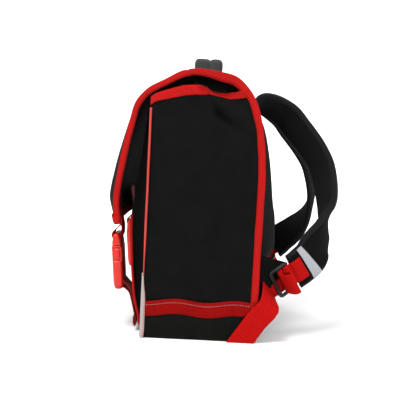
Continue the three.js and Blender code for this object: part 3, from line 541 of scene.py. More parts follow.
def onMouthTape(turned, along):
    top = mouthTop(along) + 0.5
    bend = 0.16
    lap = mouthTape["width"] * mouth(along, 3)
    pucker = 0.25 * math.sin(along * 95) + 0.5 * ripple(0, along * body["depth"], top, 14, 5)
    if turned < 0.5 - bend / 2:
        down = lap * (1 - turned / (0.5 - bend / 2))
        return onSide(along, top - down, 1.2 + pucker * 0.5)
    if turned > 0.5 + bend / 2:
        down = lap * (turned - 0.5 - bend / 2) / (0.5 - bend / 2)
        return onSide(along, top - down, -3.2 + pucker * 0.5)
    angle = (turned - 0.5) / bend * math.pi
    at = onSide(along, top, -1 - mouthTape["over"] * math.sin(angle) + pucker * 0.5)
    at.z += mouthTape["over"] * 0.55 * math.cos(angle)
    return at


def mouthTapeGrid():
    bm = clothGrid(mouthTape["columns"], mouthTape["rows"], onMouthTape, (26, 150))
    return outwardFaces(bm, lambda at: Vector((1 if at.x > sideFace(0.5, at.z) - 12 else 0, 0, 0)))


bothSides("mouthTape", mouthTapeGrid, "mouth_tape", redTape, "red_tape", mouthTape["thickness"])
print("sides made")

# Base tray of stiffened cloth
baseTray = {"corner": 3.0, "wall": 1.9, "wave": 0.7}


def baseGrid():
    depth = halfDepth + backFace
    bm = bmesh.new()
    bmesh.ops.create_cube(bm, size=1)
    bmesh.ops.scale(bm, vec=(body["width"], depth, body["trayHeight"]), verts=bm.verts)
    bmesh.ops.translate(bm, vec=(0, (backFace - halfDepth) / 2, body["trayHeight"] / 2), verts=bm.verts)
    top = [face for face in bm.faces if face.normal.z > 0.9]
    bmesh.ops.delete(bm, geom=top, context="FACES")
    corners = [edge for edge in bm.edges if len(edge.link_faces) == 2]
    bmesh.ops.bevel(bm, geom=corners, offset=baseTray["corner"], segments=3, affect="EDGES", profile=0.5,
                    material=-1)
    for axis, step in ((0, 9), (1, 9), (2, 7.6)):
        low = min(vert.co[axis] for vert in bm.verts)
        high = max(vert.co[axis] for vert in bm.verts)
        cuts = int((high - low) / step)
        for i in range(1, cuts):
            spot, way = Vector((0, 0, 0)), Vector((0, 0, 0))
            spot[axis], way[axis] = mix(low, high, i / cuts), 1
            bmesh.ops.bisect_plane(bm, geom=bm.verts[:] + bm.edges[:] + bm.faces[:], dist=0.0001,
                                   plane_co=spot, plane_no=way)
    for vert in bm.verts:
        x, y, z = vert.co
        rise = ramp(4, 16, z) * (1 - 0.5 * ramp(30, 46, z))
        away = Vector((x, y - 2.5, 0)).normalized()
        humps = math.sin(2 * math.pi * (1.75 * (y + halfDepth) / body["depth"] - 0.1))
        humps = 0.8 * humps * ramp(20, 40, z)
        vert.co += away * rise * (baseTray["wave"] * ripple(x, y, z, 26, 2) + min(0, humps))
    weave = bm.loops.layers.uv.new("UVMap")
    bm.normal_update()
    for face in bm.faces:
        normal = face.normal
        for loop in face.loops:
            at = loop.vert.co
            if abs(normal.x) > max(abs(normal.y), abs(normal.z)):
                spot = at.y, at.z
            elif abs(normal.y) > abs(normal.z):
                spot = at.x, at.z
            else:
                spot = at.x, at.y
            loop[weave].uv = spot[0] * mm, spot[1] * mm
    return bm


finished("baseCloth", baseGrid(), baseCloth, ["base"], baseTray["wall"])

# Dark red band over the join of side and base, with its row of grey stitches
sideBand = {"width": 20, "middle": 42.5, "wave": 4, "front": -68.6, "back": 70, "stitches": 0.76,
            "thickness": 1.2, "columns": 150, "rows": 10}


def bandMiddle(along):
    sway = math.sin(2 * math.pi * (1.75 * along - 0.25)) - 0.6 * (1 - along)
    return sideBand["middle"] + sideBand["wave"] * sway * 0.5


def onBand(along, up, outward=0.0):
    z = bandMiddle(along) + sideBand["width"] * (up - 0.5)
    y = mix(sideBand["front"], sideBand["back"], along)
    pucker = 0.35 * math.sin(along * 118) * (0.4 + 0.6 * up) + 0.8 * ripple(0, y, z, 17, 9)
    swell = 0.8 * math.sin(math.pi * up)
    return Vector((halfWidth + 0.7 + swell + max(-0.5, pucker) + outward, y, z))


def bandGrid():
    bm = clothGrid(sideBand["columns"], sideBand["rows"], onBand, (137, 19))
    return outwardFaces(bm, lambda at: Vector((1, 0, 0)))


bothSides("sideBand", bandGrid, "side_band", darkTape, "red_tape", sideBand["thickness"])


def bandStitches():
    path = [onBand(i / 90, sideBand["stitches"], 0.25) for i in range(91)]
    return stitchLine(bmesh.new(), path, [(1, 0, 0)] * 91, 2.0, 1.5, 1.0)


bothSides("bandStitches", bandStitches, "", greyThread, "reflective_tape")
print("base and bands made")

# Back panel and flap: one padded cover in two pieces
cover = {"columns": 60, "backRows": 90, "flapRows": 120, "pucker": 0.5}


def puckerAt(x, travel, reach):
    # Small gathers that the stitching pulls beside an edge
    near = math.exp(-max(0, reach) / 9)
    return cover["pucker"] * near * math.sin(travel / 2.4 + 2 * ripple(x, travel, 0, 30, 4))


def coverGrid(start, end, rows, crown, seed):
    lengthAll = pathLength([onCover(mix(start, end, i / 60)) for i in range(61)])

    def place(across, along):
        stop = mix(start, end, along)
        x = mix(-coverHalf, coverHalf, across)
        travel = along * lengthAll
        edge = coverHalf - abs(x) - 9
        soft = 1.3 * ripple(x, travel, 0, 60, seed) + 0.5 * ripple(x, travel, 0, 22, seed + 5)
        soft *= ramp(2, 40, edge + 9)
        lift = crown(stop) * crownAcross(x) + soft + puckerAt(x, travel, edge)
        at = onCover(stop, lift)
        return Vector((x, at.y, at.z))

    return clothGrid(cover["columns"], rows, place, (2 * coverHalf, lengthAll))


def coverPiece(name, start, end, rows, crown, seed, node):
    bm = coverGrid(start, end, rows, crown, seed)
    outwardFaces(bm, lambda at: Vector((0, at.y, at.z - 150)))
    piece = finished(name, bm, blackCloth, [node])
    thicken(piece, body["padding"] - 1.2, 0)
    return piece


coverPiece("backCloth", 0, seamStop, cover["backRows"], lambda stop: 0, 11, "back_panel")
coverPiece("flapCloth", seamStop + 0.02, flapStop, cover["flapRows"], flapCrownAt, 17, "flap")

# Red binding folded round the edges of back and flap
binding = {"half": 5.0, "round": 2.0, "thickness": 1.1, "start": stopAtHeight(39.5), "rows": 330, "cut": 870}


def bindingFold(lip, web, half, corner, steps=4):
    # Outer line of a tape folded round an edge, from lip to lip
    line = [(mix(lip, web - corner, i / 3), half) for i in range(3)]
    for i in range(steps + 1):
        angle = math.pi / 2 * (1 - i / steps)
        line.append((web - corner + corner * math.cos(angle), half - corner + corner * math.sin(angle)))
    line += [(web, mix(half - corner, corner - half, i / 4)) for i in range(1, 4)]
    return line + [(across, -out) for across, out in reversed(line[:3 + steps + 1])]


bindingLine = bindingFold(bindingLip, bindingWeb, binding["half"], binding["round"])


def bindingSpread(stop, out):
    # Share of the binding's half height that shows, wider at the rear corner on the inside
    if out > 0:
        return 1 - 0.14 * ramp(22, 30, stop)
    return 1 + 0.45 * math.exp(-((stop - 18.8) / 1.6) ** 2) - 0.35 * ramp(20, 23, stop)


def bindingGrid():
    count = len(bindingLine) - 1

    def place(turned, along):
        across, out = bindingLine[round(turned * count)]
        stop = mix(binding["start"], lastStop, along)
        travel = along * binding["cut"]
        pull = 0.22 * math.sin(travel / 1.35) * (0.3 + 0.7 * abs(out) / 5)
        swell = 0.5 * ripple(0, travel, 0, 24, 6)
        spread = bindingSpread(stop, out)
        crease = 1.3 * math.exp(-((stop - 24) / 0.22) ** 2)
        at = onCover(stop, out * (spread + 0.03 * math.sin(travel / 9)) + swell * 0.4 - crease)
        face = 0.6 * (1 - (out / 5) ** 2) + pull if across > bindingWeb - 3 else 0
        return Vector((across + face + swell * 0.3, at.y, at.z))

    bm = clothGrid(count, binding["rows"], place, (34, binding["cut"]))
    return outwardFaces(bm, lambda at: Vector((1, 0, 0)))


bothSides("edgeBinding", bindingGrid, "edge_binding", redTape, "red_tape", binding["thickness"])


def hemGrid():
    line = bindingFold(-body["bindingLap"], 0.6, 5.2, 2.0)
    count = len(line) - 1

    def place(across, turned):
        down, out = line[round(turned * count)]
        x = mix(-crownHalf - 1.5, crownHalf + 1.5, across)
        stop = stopBeforeHem(-down)
        pull = 0.2 * math.sin(x / 1.35)
        lift = flapCrownAt(min(stop, flapStop)) * crownAcross(x) + out + pull * (1 if out > 0 else -1)
        at = onCover(stop, lift)
        return Vector((x, at.y, at.z))

    bm = clothGrid(150, count, place, (2 * crownHalf, 30))
    return outwardFaces(bm, lambda at: Vector((0, 0, -1 if at.z < 150 else 0)))


finished("hemBinding", hemGrid(), redTape, ["flap_hem_binding"], binding["thickness"])


def edgeStitches():
    # Stitches near the lips of the binding, outside and inside
    bm = bmesh.new()
    count = 260
    for out in (binding["half"] + 0.15, -binding["half"] - 0.15):
        points, faces = [], []
        for i in range(count + 1):
            stop = mix(binding["start"] + 0.4, lastStop - 0.2, i / count)
            at, above = onCover(stop, out * bindingSpread(stop, out)), onCover(stop, out * 2)
            points.append((bindingLip + 1.6, at.y, at.z))
            faces.append((0, above.y - at.y, above.z - at.z))
        stitchLine(bm, points, faces, 2.8, 1.4, 0.7)
    return bm


bothSides("edgeStitches", edgeStitches, "", redThread, "red_tape")


def hemStitches():
    bm = bmesh.new()
    stop = stopBeforeHem(body["bindingLap"] - 1.6)
    for out in (5.4, -5.4):
        points = []
        for i in range(121):
            x = mix(-crownHalf, crownHalf, i / 120)
            at = onCover(stop, flapCrownAt(stop) * crownAcross(x) + out)
            points.append((x, at.y, at.z))
        stitchLine(bm, points, [(0, -out, 0)] * 121, 2.8, 1.4, 0.7)
    return bm


finished("hemStitches", hemStitches(), redThread)
print("cover made")

# Front panel
def frontGrid():
    top = mouth(0, 1) * body["crest"] - clearance

    def place(across, up):
        height = mix(3.6, top, up)
        x = (2 * across - 1) * (halfWidth - trayTuck(height) - body["cloth"] - clearance)
        soft = 1.2 * ripple(x, 0, height, 50, 21) + 0.4 * ripple(x, 0, height, 18, 23)
        soft *= ramp(50, 90, height) * (1 - abs(2 * across - 1) ** 6)
        return Vector((x, -halfDepth + trayTuck(height) - min(soft, 0.25), height))

    bm = clothGrid(48, 60, place, (285, 320))
    return outwardFaces(bm, lambda at: Vector((0, -1, 0)))


finished("frontCloth", frontGrid(), blackCloth, ["front_panel"], sidePanel["wall"])

# Piping: a cord in a red cover
piping = {"diameter": 3.6, "frontDiameter": 3.0, "foot": 82}


def roundCord(points, diameter, rows, sides=12, slim=None):
    # Cord through points, with its rings turned as little as possible
    points = [Vector(at) for at in points]
    side = Vector((0, 1, 0))
    frames = []
    for i in range(rows + 1):
        at, run = splinePoint(points, i / rows), splineRun(points, i / rows)
        side = (side - run * side.dot(run)).normalized()
        frames.append((at, side, run.cross(side)))
    angles = [2 * math.pi * i / sides for i in range(sides)]
    profile = [(diameter / 2 * math.cos(angle), diameter / 2 * math.sin(angle)) for angle in angles]

    def place(across, out, share):
        at, side, other = frames[round(share * rows)]
        size = slim(share) if slim else 1
        return at + side * across * size + other * out * size

    return sweptLoop(profile, rows, place, pathLength([frame[0] for frame in frames]))


def frontPipingCord():
    x, y = halfWidth + clearance + piping["diameter"] / 2, -halfDepth + 1
    top = mouth(0, 1) * body["crest"] - 12 - piping["diameter"]
    points = []
    for i in range(14):
        z = mix(piping["foot"], top + 3, i / 13)
        points.append((x - 0.4 + 0.4 * ripple(0, 0, z, 40, 2), y + 0.5 * ripple(0, 3, z, 55, 8), z))
    return roundCord(points, piping["frontDiameter"], 90,
                     slim=lambda share: mix(0.45, 1, ramp(0, 0.3, share)))


# The front piping gets the lighter copy of the red tape, which paints in its highlight
bothSides("frontPiping", frontPipingCord, "front_piping", highlitPipingTape, "red_tape")

# Front pocket: a wedge with piping round its front
pocket = {"half": 125, "foot": 14, "top": 160, "gussetTop": 302, "depth": 20, "wall": 1.8}
pocketOut = reader([(0.045, 0.13), (0.17, 0.6), (0.29, 0.81), (0.46, 0.98), (0.53, 1), (0.75, 0.55),
                    (1, 0.12)])


def pocketStand(height):
    return pocket["depth"] * pocketOut(height / pocket["gussetTop"])


def pocketPuff(x):
    return 3 * max(0, 1 - (x / pocket["half"]) ** 4)


def onPocket(x, z, outward=0.0):
    share = (z - pocket["foot"]) / (pocket["top"] - pocket["foot"])
    inside = max(0, 1 - (x / pocket["half"]) ** 6)
    soft = (1.2 * ripple(x, 0, z, 34, 31) + 0.5 * ripple(x, 0, z, 14, 33)) * inside * ramp(0, 0.12, share)
    stand = pocketStand(z) + pocketPuff(x) * math.sin(math.pi * share) + soft
    return Vector((x, -halfDepth - clearance - stand - outward, z))


def pocketGrid():
    def place(across, up):
        return onPocket((2 * across - 1) * pocket["half"], mix(pocket["foot"], pocket["top"], up))
    bm = clothGrid(70, 44, place, (250, 150))
    return outwardFaces(bm, lambda at: Vector((0, -1, 0)))


finished("pocketCloth", pocketGrid(), blackCloth, ["pocket_front"], pocket["wall"])


def gussetGrid():
    def place(out, up):
        z = mix(pocket["foot"] + 4, pocket["gussetTop"], up)
        stand = pocketStand(z) + (0 if z > pocket["top"] else -0.4)
        sag = 2.2 * math.sin(math.pi * out) * ramp(0, 0.2, up) * (1 - 0.5 * up)
        return Vector((pocket["half"] - 0.4 - sag, -halfDepth - clearance - stand * out, z))
    bm = clothGrid(8, 60, place, (20, 290))
    return outwardFaces(bm, lambda at: Vector((1, 0, 0)))


bothSides("pocketGusset", gussetGrid, "pocket_gusset", blackCloth, "black_cloth", pocket["wall"])


def pocketPipingCord():
    radius = piping["diameter"] / 2
    x = pocket["half"] + radius - 0.2
    heights = [mix(pocket["top"], pocket["foot"] + 10, i / 12) for i in range(13)]
    right = [(x, -halfDepth - clearance - pocketStand(z) + 0.6, z) for z in heights]
    foot = -halfDepth - radius - 1.4
    right += [(x, foot - 1.2, pocket["foot"] + 4), (x - 1.5, foot, pocket["foot"] - 0.4),
              (x - 6, foot, pocket["foot"] - 2)]
    right += [(x - 20 * i, foot, pocket["foot"] - 2.2) for i in range(1, 6)]
    left = [(-at[0], at[1], at[2]) for at in reversed(right)]
    return roundCord(right + left, piping["diameter"], 260, 10)


finished("pocketPiping", pocketPipingCord(), redTape, ["pocket_piping"])


def pocketHem():
    # Folded hem along the pocket's upper edge
    def place(across, turned):
        x = (2 * across - 1) * (pocket["half"] - 1.5)
        angle = (turned - 0.5) * math.pi
        down = 11 * abs(2 * turned - 1)
        out = 0.9 if turned > 0.5 else -2.9
        if abs(turned - 0.5) < 0.12:
            out, down = mix(-2.9, 0.9, (turned - 0.38) / 0.24), 0
        return onPocket(x, pocket["top"] - down + 0.6, out)
    bm = clothGrid(60, 12, place, (248, 24))
    return outwardFaces(bm, lambda at: Vector((0, 0, 1 if at.z > pocket["top"] else 0)))


finished("pocketHem", pocketHem(), strapTape, wall=0.7)
print("front made")

# Ribbed reflective strips round the front lower corners
cornerStrip = {"top": 86, "reach": 4.8, "back": 11, "bend": 1.6, "rib": 2.6, "tick": 2.9, "thickness": 0.9}


def cornerStripGrid():
    def place(turned, up):
        z = mix(1.2, cornerStrip["top"], up)
        taper = 1 - 0.75 * ramp(0.5, 1, up) - 0.12 * ramp(0.12, 0, up)
        side, ahead = cornerStrip["reach"] * taper, cornerStrip["back"] * taper
        bend = cornerStrip["bend"]
        at = turned * (side + ahead)
        rib = 0.22 * abs(math.sin(math.pi * z / cornerStrip["rib"]))
        if at < side - bend:
            return Vector((halfWidth + 1.2 + rib, -halfDepth + side - at, z))
        if at > side + bend:
            return Vector((halfWidth - (at - side) + 0.2, -halfDepth - 1.2 - rib, z))
        angle = (at - side + bend) / (2 * bend) * math.pi / 2
        radius = bend + 1.2 + rib
        return Vector((halfWidth - bend + radius * math.cos(angle),
                       -halfDepth + bend - radius * math.sin(angle), z))
    bm = clothGrid(14, 210, place, (19, 90))
    return outwardFaces(bm, lambda at: Vector((1, -1, 0)))


bothSides("cornerStrip", cornerStripGrid, "reflective_strip", ribbedTape, "reflective_tape",
          cornerStrip["thickness"])


# Red ticks of the overcast edge beside the strip
def cornerTicks():
    bm = bmesh.new()
    for i in range(int((cornerStrip["top"] - 8) / cornerStrip["tick"])):
        z = 3 + i * cornerStrip["tick"]
        taper = 1 - 0.75 * ramp(0.5, 1, z / cornerStrip["top"])
        size = Matrix.Diagonal((0.45, 1.25 * taper, 0.7, 1))
        at = Matrix.Translation((halfWidth + 1.35, -halfDepth + (cornerStrip["reach"] - 1.1) * taper, z))
        bmesh.ops.create_icosphere(bm, subdivisions=1, radius=1, matrix=at @ size)
    return bm


bothSides("cornerTicks", cornerTicks, "", redThread, "red_tape")

# Handle: a two-lobed soft moulding whose ends come down onto the flap
handle = {"length": 124, "width": 42, "thickness": 12, "rise": 30.5, "groove": 2}
handleUp = reader([(0, 1), (0.3, 0.97), (0.55, 0.82), (0.75, 0.5), (0.9, 0.17), (1, 0.02)])


def flapTop(x, y):
    stop = lastStop / 2 + 1
    while onCover(stop, body["padding"] / 2).y > y:
        stop += 0.1
    return onCover(stop, body["padding"] / 2 + flapCrownAt(stop) * crownAcross(x)).z


def handleGrid():
    free = flapTop(0, 0) + handle["rise"] - handle["thickness"]
    seats = {}
    sides = 40

    def place(across, out, share):
        side = 2 * share - 1
        x = side * handle["length"] / 2
        ease = sum(handleUp(min(1, abs(side + step))) for step in (-0.06, -0.03, 0, 0.03, 0.06)) / 5
        slim = mix(0.42, 1, ramp(0, 0.3, 1 - abs(side)))
        y = across * handle["width"] / 2 * (1 - 0.12 * abs(side) ** 3)
        key = round(share, 4), round(across, 3)
        if key not in seats:
            seats[key] = flapTop(x, y) + 1.2
        middle = mix(seats[key], free, ease)
        lobe = math.sqrt(max(0, 1 - max(0, 2 * abs(across) - 1) ** 3.4))
        groove = math.exp(-((across - 0.1) / 0.09) ** 2) + 0.25 * math.exp(-(across / 0.4) ** 2)
        full = handle["thickness"] * (0.3 + 0.7 * lobe) - handle["groove"] * groove
        return Vector((x, y, middle + full * slim * out))

    steps = [-math.cos(math.pi * i / sides) for i in range(sides)]
    profile = [(across, 1) for across in steps] + [(-across, 0) for across in steps]
    profile[0] = (-1, 0.5)
    profile[sides] = (1, 0.5)
    return sweptLoop(profile, 72, place, handle["length"])


finished("carryHandle", handleGrid(), gripRubber, ["carry_handle"])
print("handle made")


# Shoulder straps
strap = {"width": 60, "endWidth": 50, "thickness": 12, "length": 330, "reach": 100, "cell": 3.3}
# Rows down a strap: how far back, up and out as shares, and its turn in degrees
strapTop = [(0, 0.888, 0.276, 0), (0.03, 0.903, 0.28, 20), (0.34, 0.863, 0.303, 30),
            (0.54, 0.801, 0.338, 30), (0.74, 0.731, 0.379, 27), (0.87, 0.669, 0.414, 23),
            (0.93, 0.613, 0.434, 20), (0.965, 0.549, 0.455, 16)]
strapEnds = {
    "right": [(0.97, 0.504, 0.479, 10), (0.937, 0.452, 0.52, -8), (0.905, 0.407, 0.572, -32),
              (0.82, 0.36, 0.634, -55), (0.73, 0.31, 0.69, -76), (0.6, 0.277, 0.731, -82),
              (0.49, 0.256, 0.775, -80)],
    "left": [(0.95, 0.482, 0.476, 8), (0.87, 0.42, 0.503, -8), (0.73, 0.366, 0.545, -35),
             (0.56, 0.322, 0.593, -50), (0.42, 0.283, 0.641, -58)]}


def strapFrames(side):
    # Point, run, width and outer face of a strap at any share, drawn on the right
    rows = strapTop + strapEnds[side]
    points = [Vector((out * halfWidth, backFace + back * strap["reach"], up * body["crest"]))
              for back, up, out, turn in rows]
    points[0].y = onCover(stopAtHeight(points[0].z - 5, 3.2), 3.2).y + 0.3
    turnAt = reader([(i / (len(rows) - 1), row[3]) for i, row in enumerate(rows)])
    known = {}

    def frameAt(share):
        share = round(min(1, max(0, share)), 4)
        if share not in known:
            at, run = splinePoint(points, share), splineRun(points, share)
            out = Vector((1, 0, 0)).cross(run).normalized()
            level = run.cross(out)
            angle = math.radians(sum(turnAt(min(1, max(0, share + step))) for step in (-0.03, 0, 0.03)) / 3)
            wide = level * math.cos(angle) + out * math.sin(angle)
            known[share] = at, run, wide, out * math.cos(angle) - level * math.sin(angle)
        return known[share]
    return frameAt


frameOf = {side: strapFrames(side) for side in sideTurn}


def strapWidthAt(share):
    return mix(strap["width"], strap["endWidth"], ramp(0.6, 1, share))


def strapHalfThickness(across, share):
    # Half the padded thickness: across is 0 to 1
    crown = max(0, 1 - abs(2 * across - 1) ** 3) ** 0.5
    ends = mix(0.45, 1, ramp(0, 0.05, min(share, 1 - share)))
    return strap["thickness"] / 2 * ends * (0.2 + 0.8 * crown)


def holedSheet(width, length, cell, place):
    # Spacer mesh: a grid turned by 45 degrees, cut to size, each whole cell sunk in as a hole.
    # place gets the shares across and along and the depth in the padding
    bm = bmesh.new()
    span = (width + length) * 0.75
    count = int(span * 2 / cell)
    bmesh.ops.create_grid(bm, x_segments=count, y_segments=count, size=count * cell / 2)
    bmesh.ops.rotate(bm, cent=(0, 0, 0), matrix=Matrix.Rotation(math.radians(45), 3, "Z"), verts=bm.verts)
    for axis, reach in ((0, width / 2), (1, length / 2)):
        for way in (1, -1):
            spot, away = Vector((0, 0, 0)), Vector((0, 0, 0))
            spot[axis], away[axis] = reach * way, way
            cutBeyond(bm, spot, away)
    whole = [face for face in bm.faces if face.calc_area() > 0.97 * cell * cell
             and abs(face.calc_center_median().x) < width / 2 - cell]
    bmesh.ops.inset_individual(bm, faces=whole, thickness=cell * 0.2, depth=0, use_even_offset=True)
    for face in whole:
        for vert in face.verts:
            vert.co.z -= 0.9
    weave = bm.loops.layers.uv.new("UVMap")
    for face in bm.faces:
        for loop in face.loops:
            loop[weave].uv = loop.vert.co.x * mm, loop.vert.co.y * mm
    for vert in bm.verts:
        vert.co = place(vert.co.x / width + 0.5, vert.co.y / length + 0.5, vert.co.z)
    return bm


strapLength = {side: pathLength([frameOf[side](i / 80)[0] for i in range(81)]) for side in sideTurn}


def joined(whole, part):
    data = bpy.data.meshes.new("part")
    part.to_mesh(data)
    part.free()
    whole.from_mesh(data)
    bpy.data.meshes.remove(data)
    return whole


# Spacer mesh on the face towards the body and plain cloth on the outer face
def makeStrap(side):
    turn = sideTurn[side]
    length = strapLength[side]
    whole = bmesh.new()
    for way in (-1, 1):
        def place(across, along, depth=0.0):
            at, run, wide, face = frameOf[side](along)
            dent = 0.7 * ripple(across * 60, along * length, way * 9, 24, 41)
            out = strapHalfThickness(across, along) * (1 + 0.06 * dent) + depth
            spot = at + wide * strapWidthAt(along) * (across - 0.5) + face * out * way
            return Vector((spot.x * turn, spot.y, spot.z))
        if way < 0:
            sheet = holedSheet(strap["width"], length, strap["cell"], place)
        else:
            sheet = clothGrid(24, 150, place, (strap["width"], length))
        if way * turn < 0:
            bmesh.ops.reverse_faces(sheet, faces=sheet.faces)
        for face in sheet.faces:
            face.material_index = max(0, way)
        joined(whole, sheet)
    piece = finished(f"shoulderStrap_{side}", whole, airMesh, [f"shoulder_strap_{side}"])
    piece.data.materials.append(blackCloth)
    return piece


def makeStrapTape(side):
    # Tape bound round the strap's edge, all the way down both sides
    turn = sideTurn[side]
    whole = bmesh.new()
    fold = [(-1, 1.0), (-0.6, 1.12), (-0.25, 1.15), (0, 1.1), (0.35, 0.7), (0.5, 0), (0.35, -0.7), (0, -1.1),
            (-0.25, -1.15), (-0.6, -1.12), (-1, -1.0)]
    for way in (1, -1):
        def place(turned, along):
            reach, out = fold[round(turned * (len(fold) - 1))]
            at, run, wide, face = frameOf[side](along)
            half = strapWidthAt(along) / 2
            inset = half + reach * 3.2
            under = strapHalfThickness(min(1, 0.5 + max(0, inset) / half / 2), along)
            lift = out * (under + 0.5) if abs(reach) > 0.01 or out else 0
            spot = at + wide * way * (inset - 1.0) + face * lift
            return Vector((spot.x * turn, spot.y, spot.z))
        tape = clothGrid(len(fold) - 1, 150, place, (16, strapLength[side]))
        bmesh.ops.recalc_face_normals(tape, faces=tape.faces)
        joined(whole, tape)
    piece = finished(f"strapTape_{side}", whole, strapTape)
    thicken(piece, 0.9, 0)


for side in sideTurn:
    makeStrap(side)
    makeStrapTape(side)
print("straps made")


# Back pad of foam under spacer mesh, with a sewn channel down its middle
backPad = {"width": 204, "top": 306, "foot": 100, "thickness": 28, "cell": 3.6}
padOut = reader([(0, 0.5), (0.04, 0.9), (0.1, 1), (0.28, 0.93), (0.4, 0.74), (0.62, 0.56), (0.85, 0.4),
                 (0.96, 0.28), (1, 0.16)])


def padLift(across, up):
    side = 2 * across - 1
    edge = math.sqrt(max(0.0, 1 - side ** 8)) * ramp(0, 0.035, min(up, 1 - up) + 0.004)
    channel = 0.16 * math.exp(-((side / 0.13) ** 2))
    smoothOut = sum(padOut(up + step) for step in (-0.04, -0.02, 0, 0.02, 0.04)) / 5
    return backPad["thickness"] * smoothOut * max(0, edge - channel)


def onPad(across, up, depth=0.0):
    z = mix(backPad["foot"], backPad["top"], up)
    seat = onCover(stopAtHeight(z, 3.5), 3.5)
    side = 2 * across - 1
    turned = 1 - 0.05 * max(0, abs(2 * up - 1) - 0.8) / 0.2 * abs(side)
    soft = 0.7 * ripple(side * 100, 0, z, 38, 51)
    y = seat.y + padLift(across, up) * (1 + 0.03 * soft) + depth
    return Vector((side * backPad["width"] / 2 * turned, y, z))


def padGrid():
    bm = holedSheet(backPad["width"], backPad["top"] - backPad["foot"], backPad["cell"], onPad)
    return outwardFaces(bm, lambda at: Vector((0, 1, 0)))


pad = finished("backPad", padGrid(), airMesh, ["back_pad"])


def padPiping():
    steps = [i / 24 for i in range(25)]
    places = [(step, 0) for step in steps] + [(1, step) for step in steps[1:]]
    places += [(1 - step, 1) for step in steps[1:]] + [(0, 1 - step) for step in steps[1:]]
    return roundCord([onPad(across, up) + Vector((0, 1.4, 0)) for across, up in places], 3.4, 400, 10)


finished("padPiping", padPiping(), strapTape)
print("back pad made")


# Side-release buckles: sizes follow the solids, and they hang from the hem
hemAt = onCover(lastStop)
buckle = {"offset": halfWidth - 50, "width": 48, "thickness": 15, "socket": 60, "plug": 17,
          "top": hemAt.z - 16, "front": 12 - hemAt.y, "tilt": 5, "webbing": 38, "slot": 5.5, "bar": 6.25}


def onBuckle(down, inward, x=0.0):
    tilt = math.radians(buckle["tilt"])
    y = inward * math.cos(tilt) + down * math.sin(tilt)
    z = inward * math.sin(tilt) - down * math.cos(tilt)
    return Vector((buckle["offset"] + x, y - buckle["front"], z + buckle["top"]))


# Half width and thickness of the moulding at distances down from its end
plugShape = reader([(0, 17, 3.5), (0.6, 19.5, 5.4), (1.6, 21.4, 7.2), (3.5, 22.8, 9.2), (8, 23.2, 12),
                    (13, 23.4, 13.8), (15.8, 23.4, 14.2), (16.4, 22.8, 13.4)])
socketShape = reader([(0, 22.8, 13.6), (0.7, 23.8, 14.8), (3, 24, 15), (20, 24, 15), (34, 23.6, 15),
                      (48, 23, 14.8), (54, 22.4, 14), (57.5, 21, 12), (59.2, 18.6, 9.4), (60, 16.5, 6.5)])
fingerPad = {"from": 2.5, "to": 21, "deep": 2.2, "share": 0.74}


# A moulding with softly squared sections from one distance down to another
def moulding(start, end, shape, rows, sunk=None):
    angles = [2 * math.pi * i / 48 for i in range(48)]
    square = [(math.cos(angle), math.sin(angle)) for angle in angles]
    profile = [(math.copysign(abs(across) ** 0.42, across), math.copysign(abs(out) ** 0.42, out))
               for across, out in square]

    def place(across, out, share):
        eased = (1 - math.cos(math.pi * share)) / 2
        down = mix(start, end, eased)
        wide, thick = shape(down - start, 1), shape(down - start, 2)
        x = across * wide
        if sunk:
            x -= math.copysign(sunk(across, out, down - start), x)
        return onBuckle(down, buckle["thickness"] / 2 + out * thick / 2, x)

    return sweptLoop(profile, rows, place, end - start)


def fingerRecess(across, out, down):
    if abs(across) <= 0.8:
        return 0
    reach = ramp(fingerPad["from"] - 1, fingerPad["from"] + 0.6, down)
    reach *= ramp(fingerPad["to"] + 1, fingerPad["to"] - 0.6, down)
    return fingerPad["deep"] * reach * ramp(fingerPad["share"] + 0.1, fingerPad["share"] - 0.1, abs(out))


def buckleSocket():
    return moulding(buckle["plug"], buckle["plug"] + buckle["socket"], socketShape, 70, fingerRecess)


# Head, and the finger pads of its prongs in the socket's sides
def bucklePlug():
    whole = moulding(0, buckle["plug"] - 0.6, plugShape, 26)
    length = fingerPad["to"] - fingerPad["from"] - 1.4
    padShape = reader([(0, 1.0, 3.5), (0.8, 2.2, 6), (3, 3.2, 7.6), (length / 2, 3.7, 8),
                       (length - 3, 3.2, 7.6), (length - 0.8, 2.2, 6), (length, 1.0, 3.5)])
    for way in (-1, 1):
        start = buckle["plug"] + fingerPad["from"] + 0.7
        pad = moulding(start, start + length, padShape, 24)
        for vert in pad.verts:
            vert.co.x += way * (socketShape(10, 1) - 3.2)
        joined(whole, pad)
    return whole


bothSides("buckleSocket", buckleSocket, "buckle_socket", redPlastic, "red_plastic")
bothSides("bucklePlug", bucklePlug, "buckle_plug", redPlastic, "red_plastic")

# Ladder locks: the solids themselves, with rounded edges
for side in sideTurn:
    node = frame["nodes"][f"ladder_lock_{side}"]
    node.data.materials.clear()
    node.data.materials.append(blackPlastic)
    weld = node.modifiers.new("weld", "WELD")
    weld.merge_threshold = 0.00001
    flat = node.modifiers.new("flat", "DECIMATE")
    flat.decimate_type, flat.angle_limit = "DISSOLVE", math.radians(2)
    edge = node.modifiers.new("edges", "BEVEL")
    edge.width, edge.segments, edge.limit_method = 0.8 * mm, 3, "ANGLE"
    edge.angle_limit, edge.use_clamp_overlap = math.radians(35), True

# Webbing of the closures
webbing = {"closure": 38, "adjuster": 30, "thickness": 1.6}


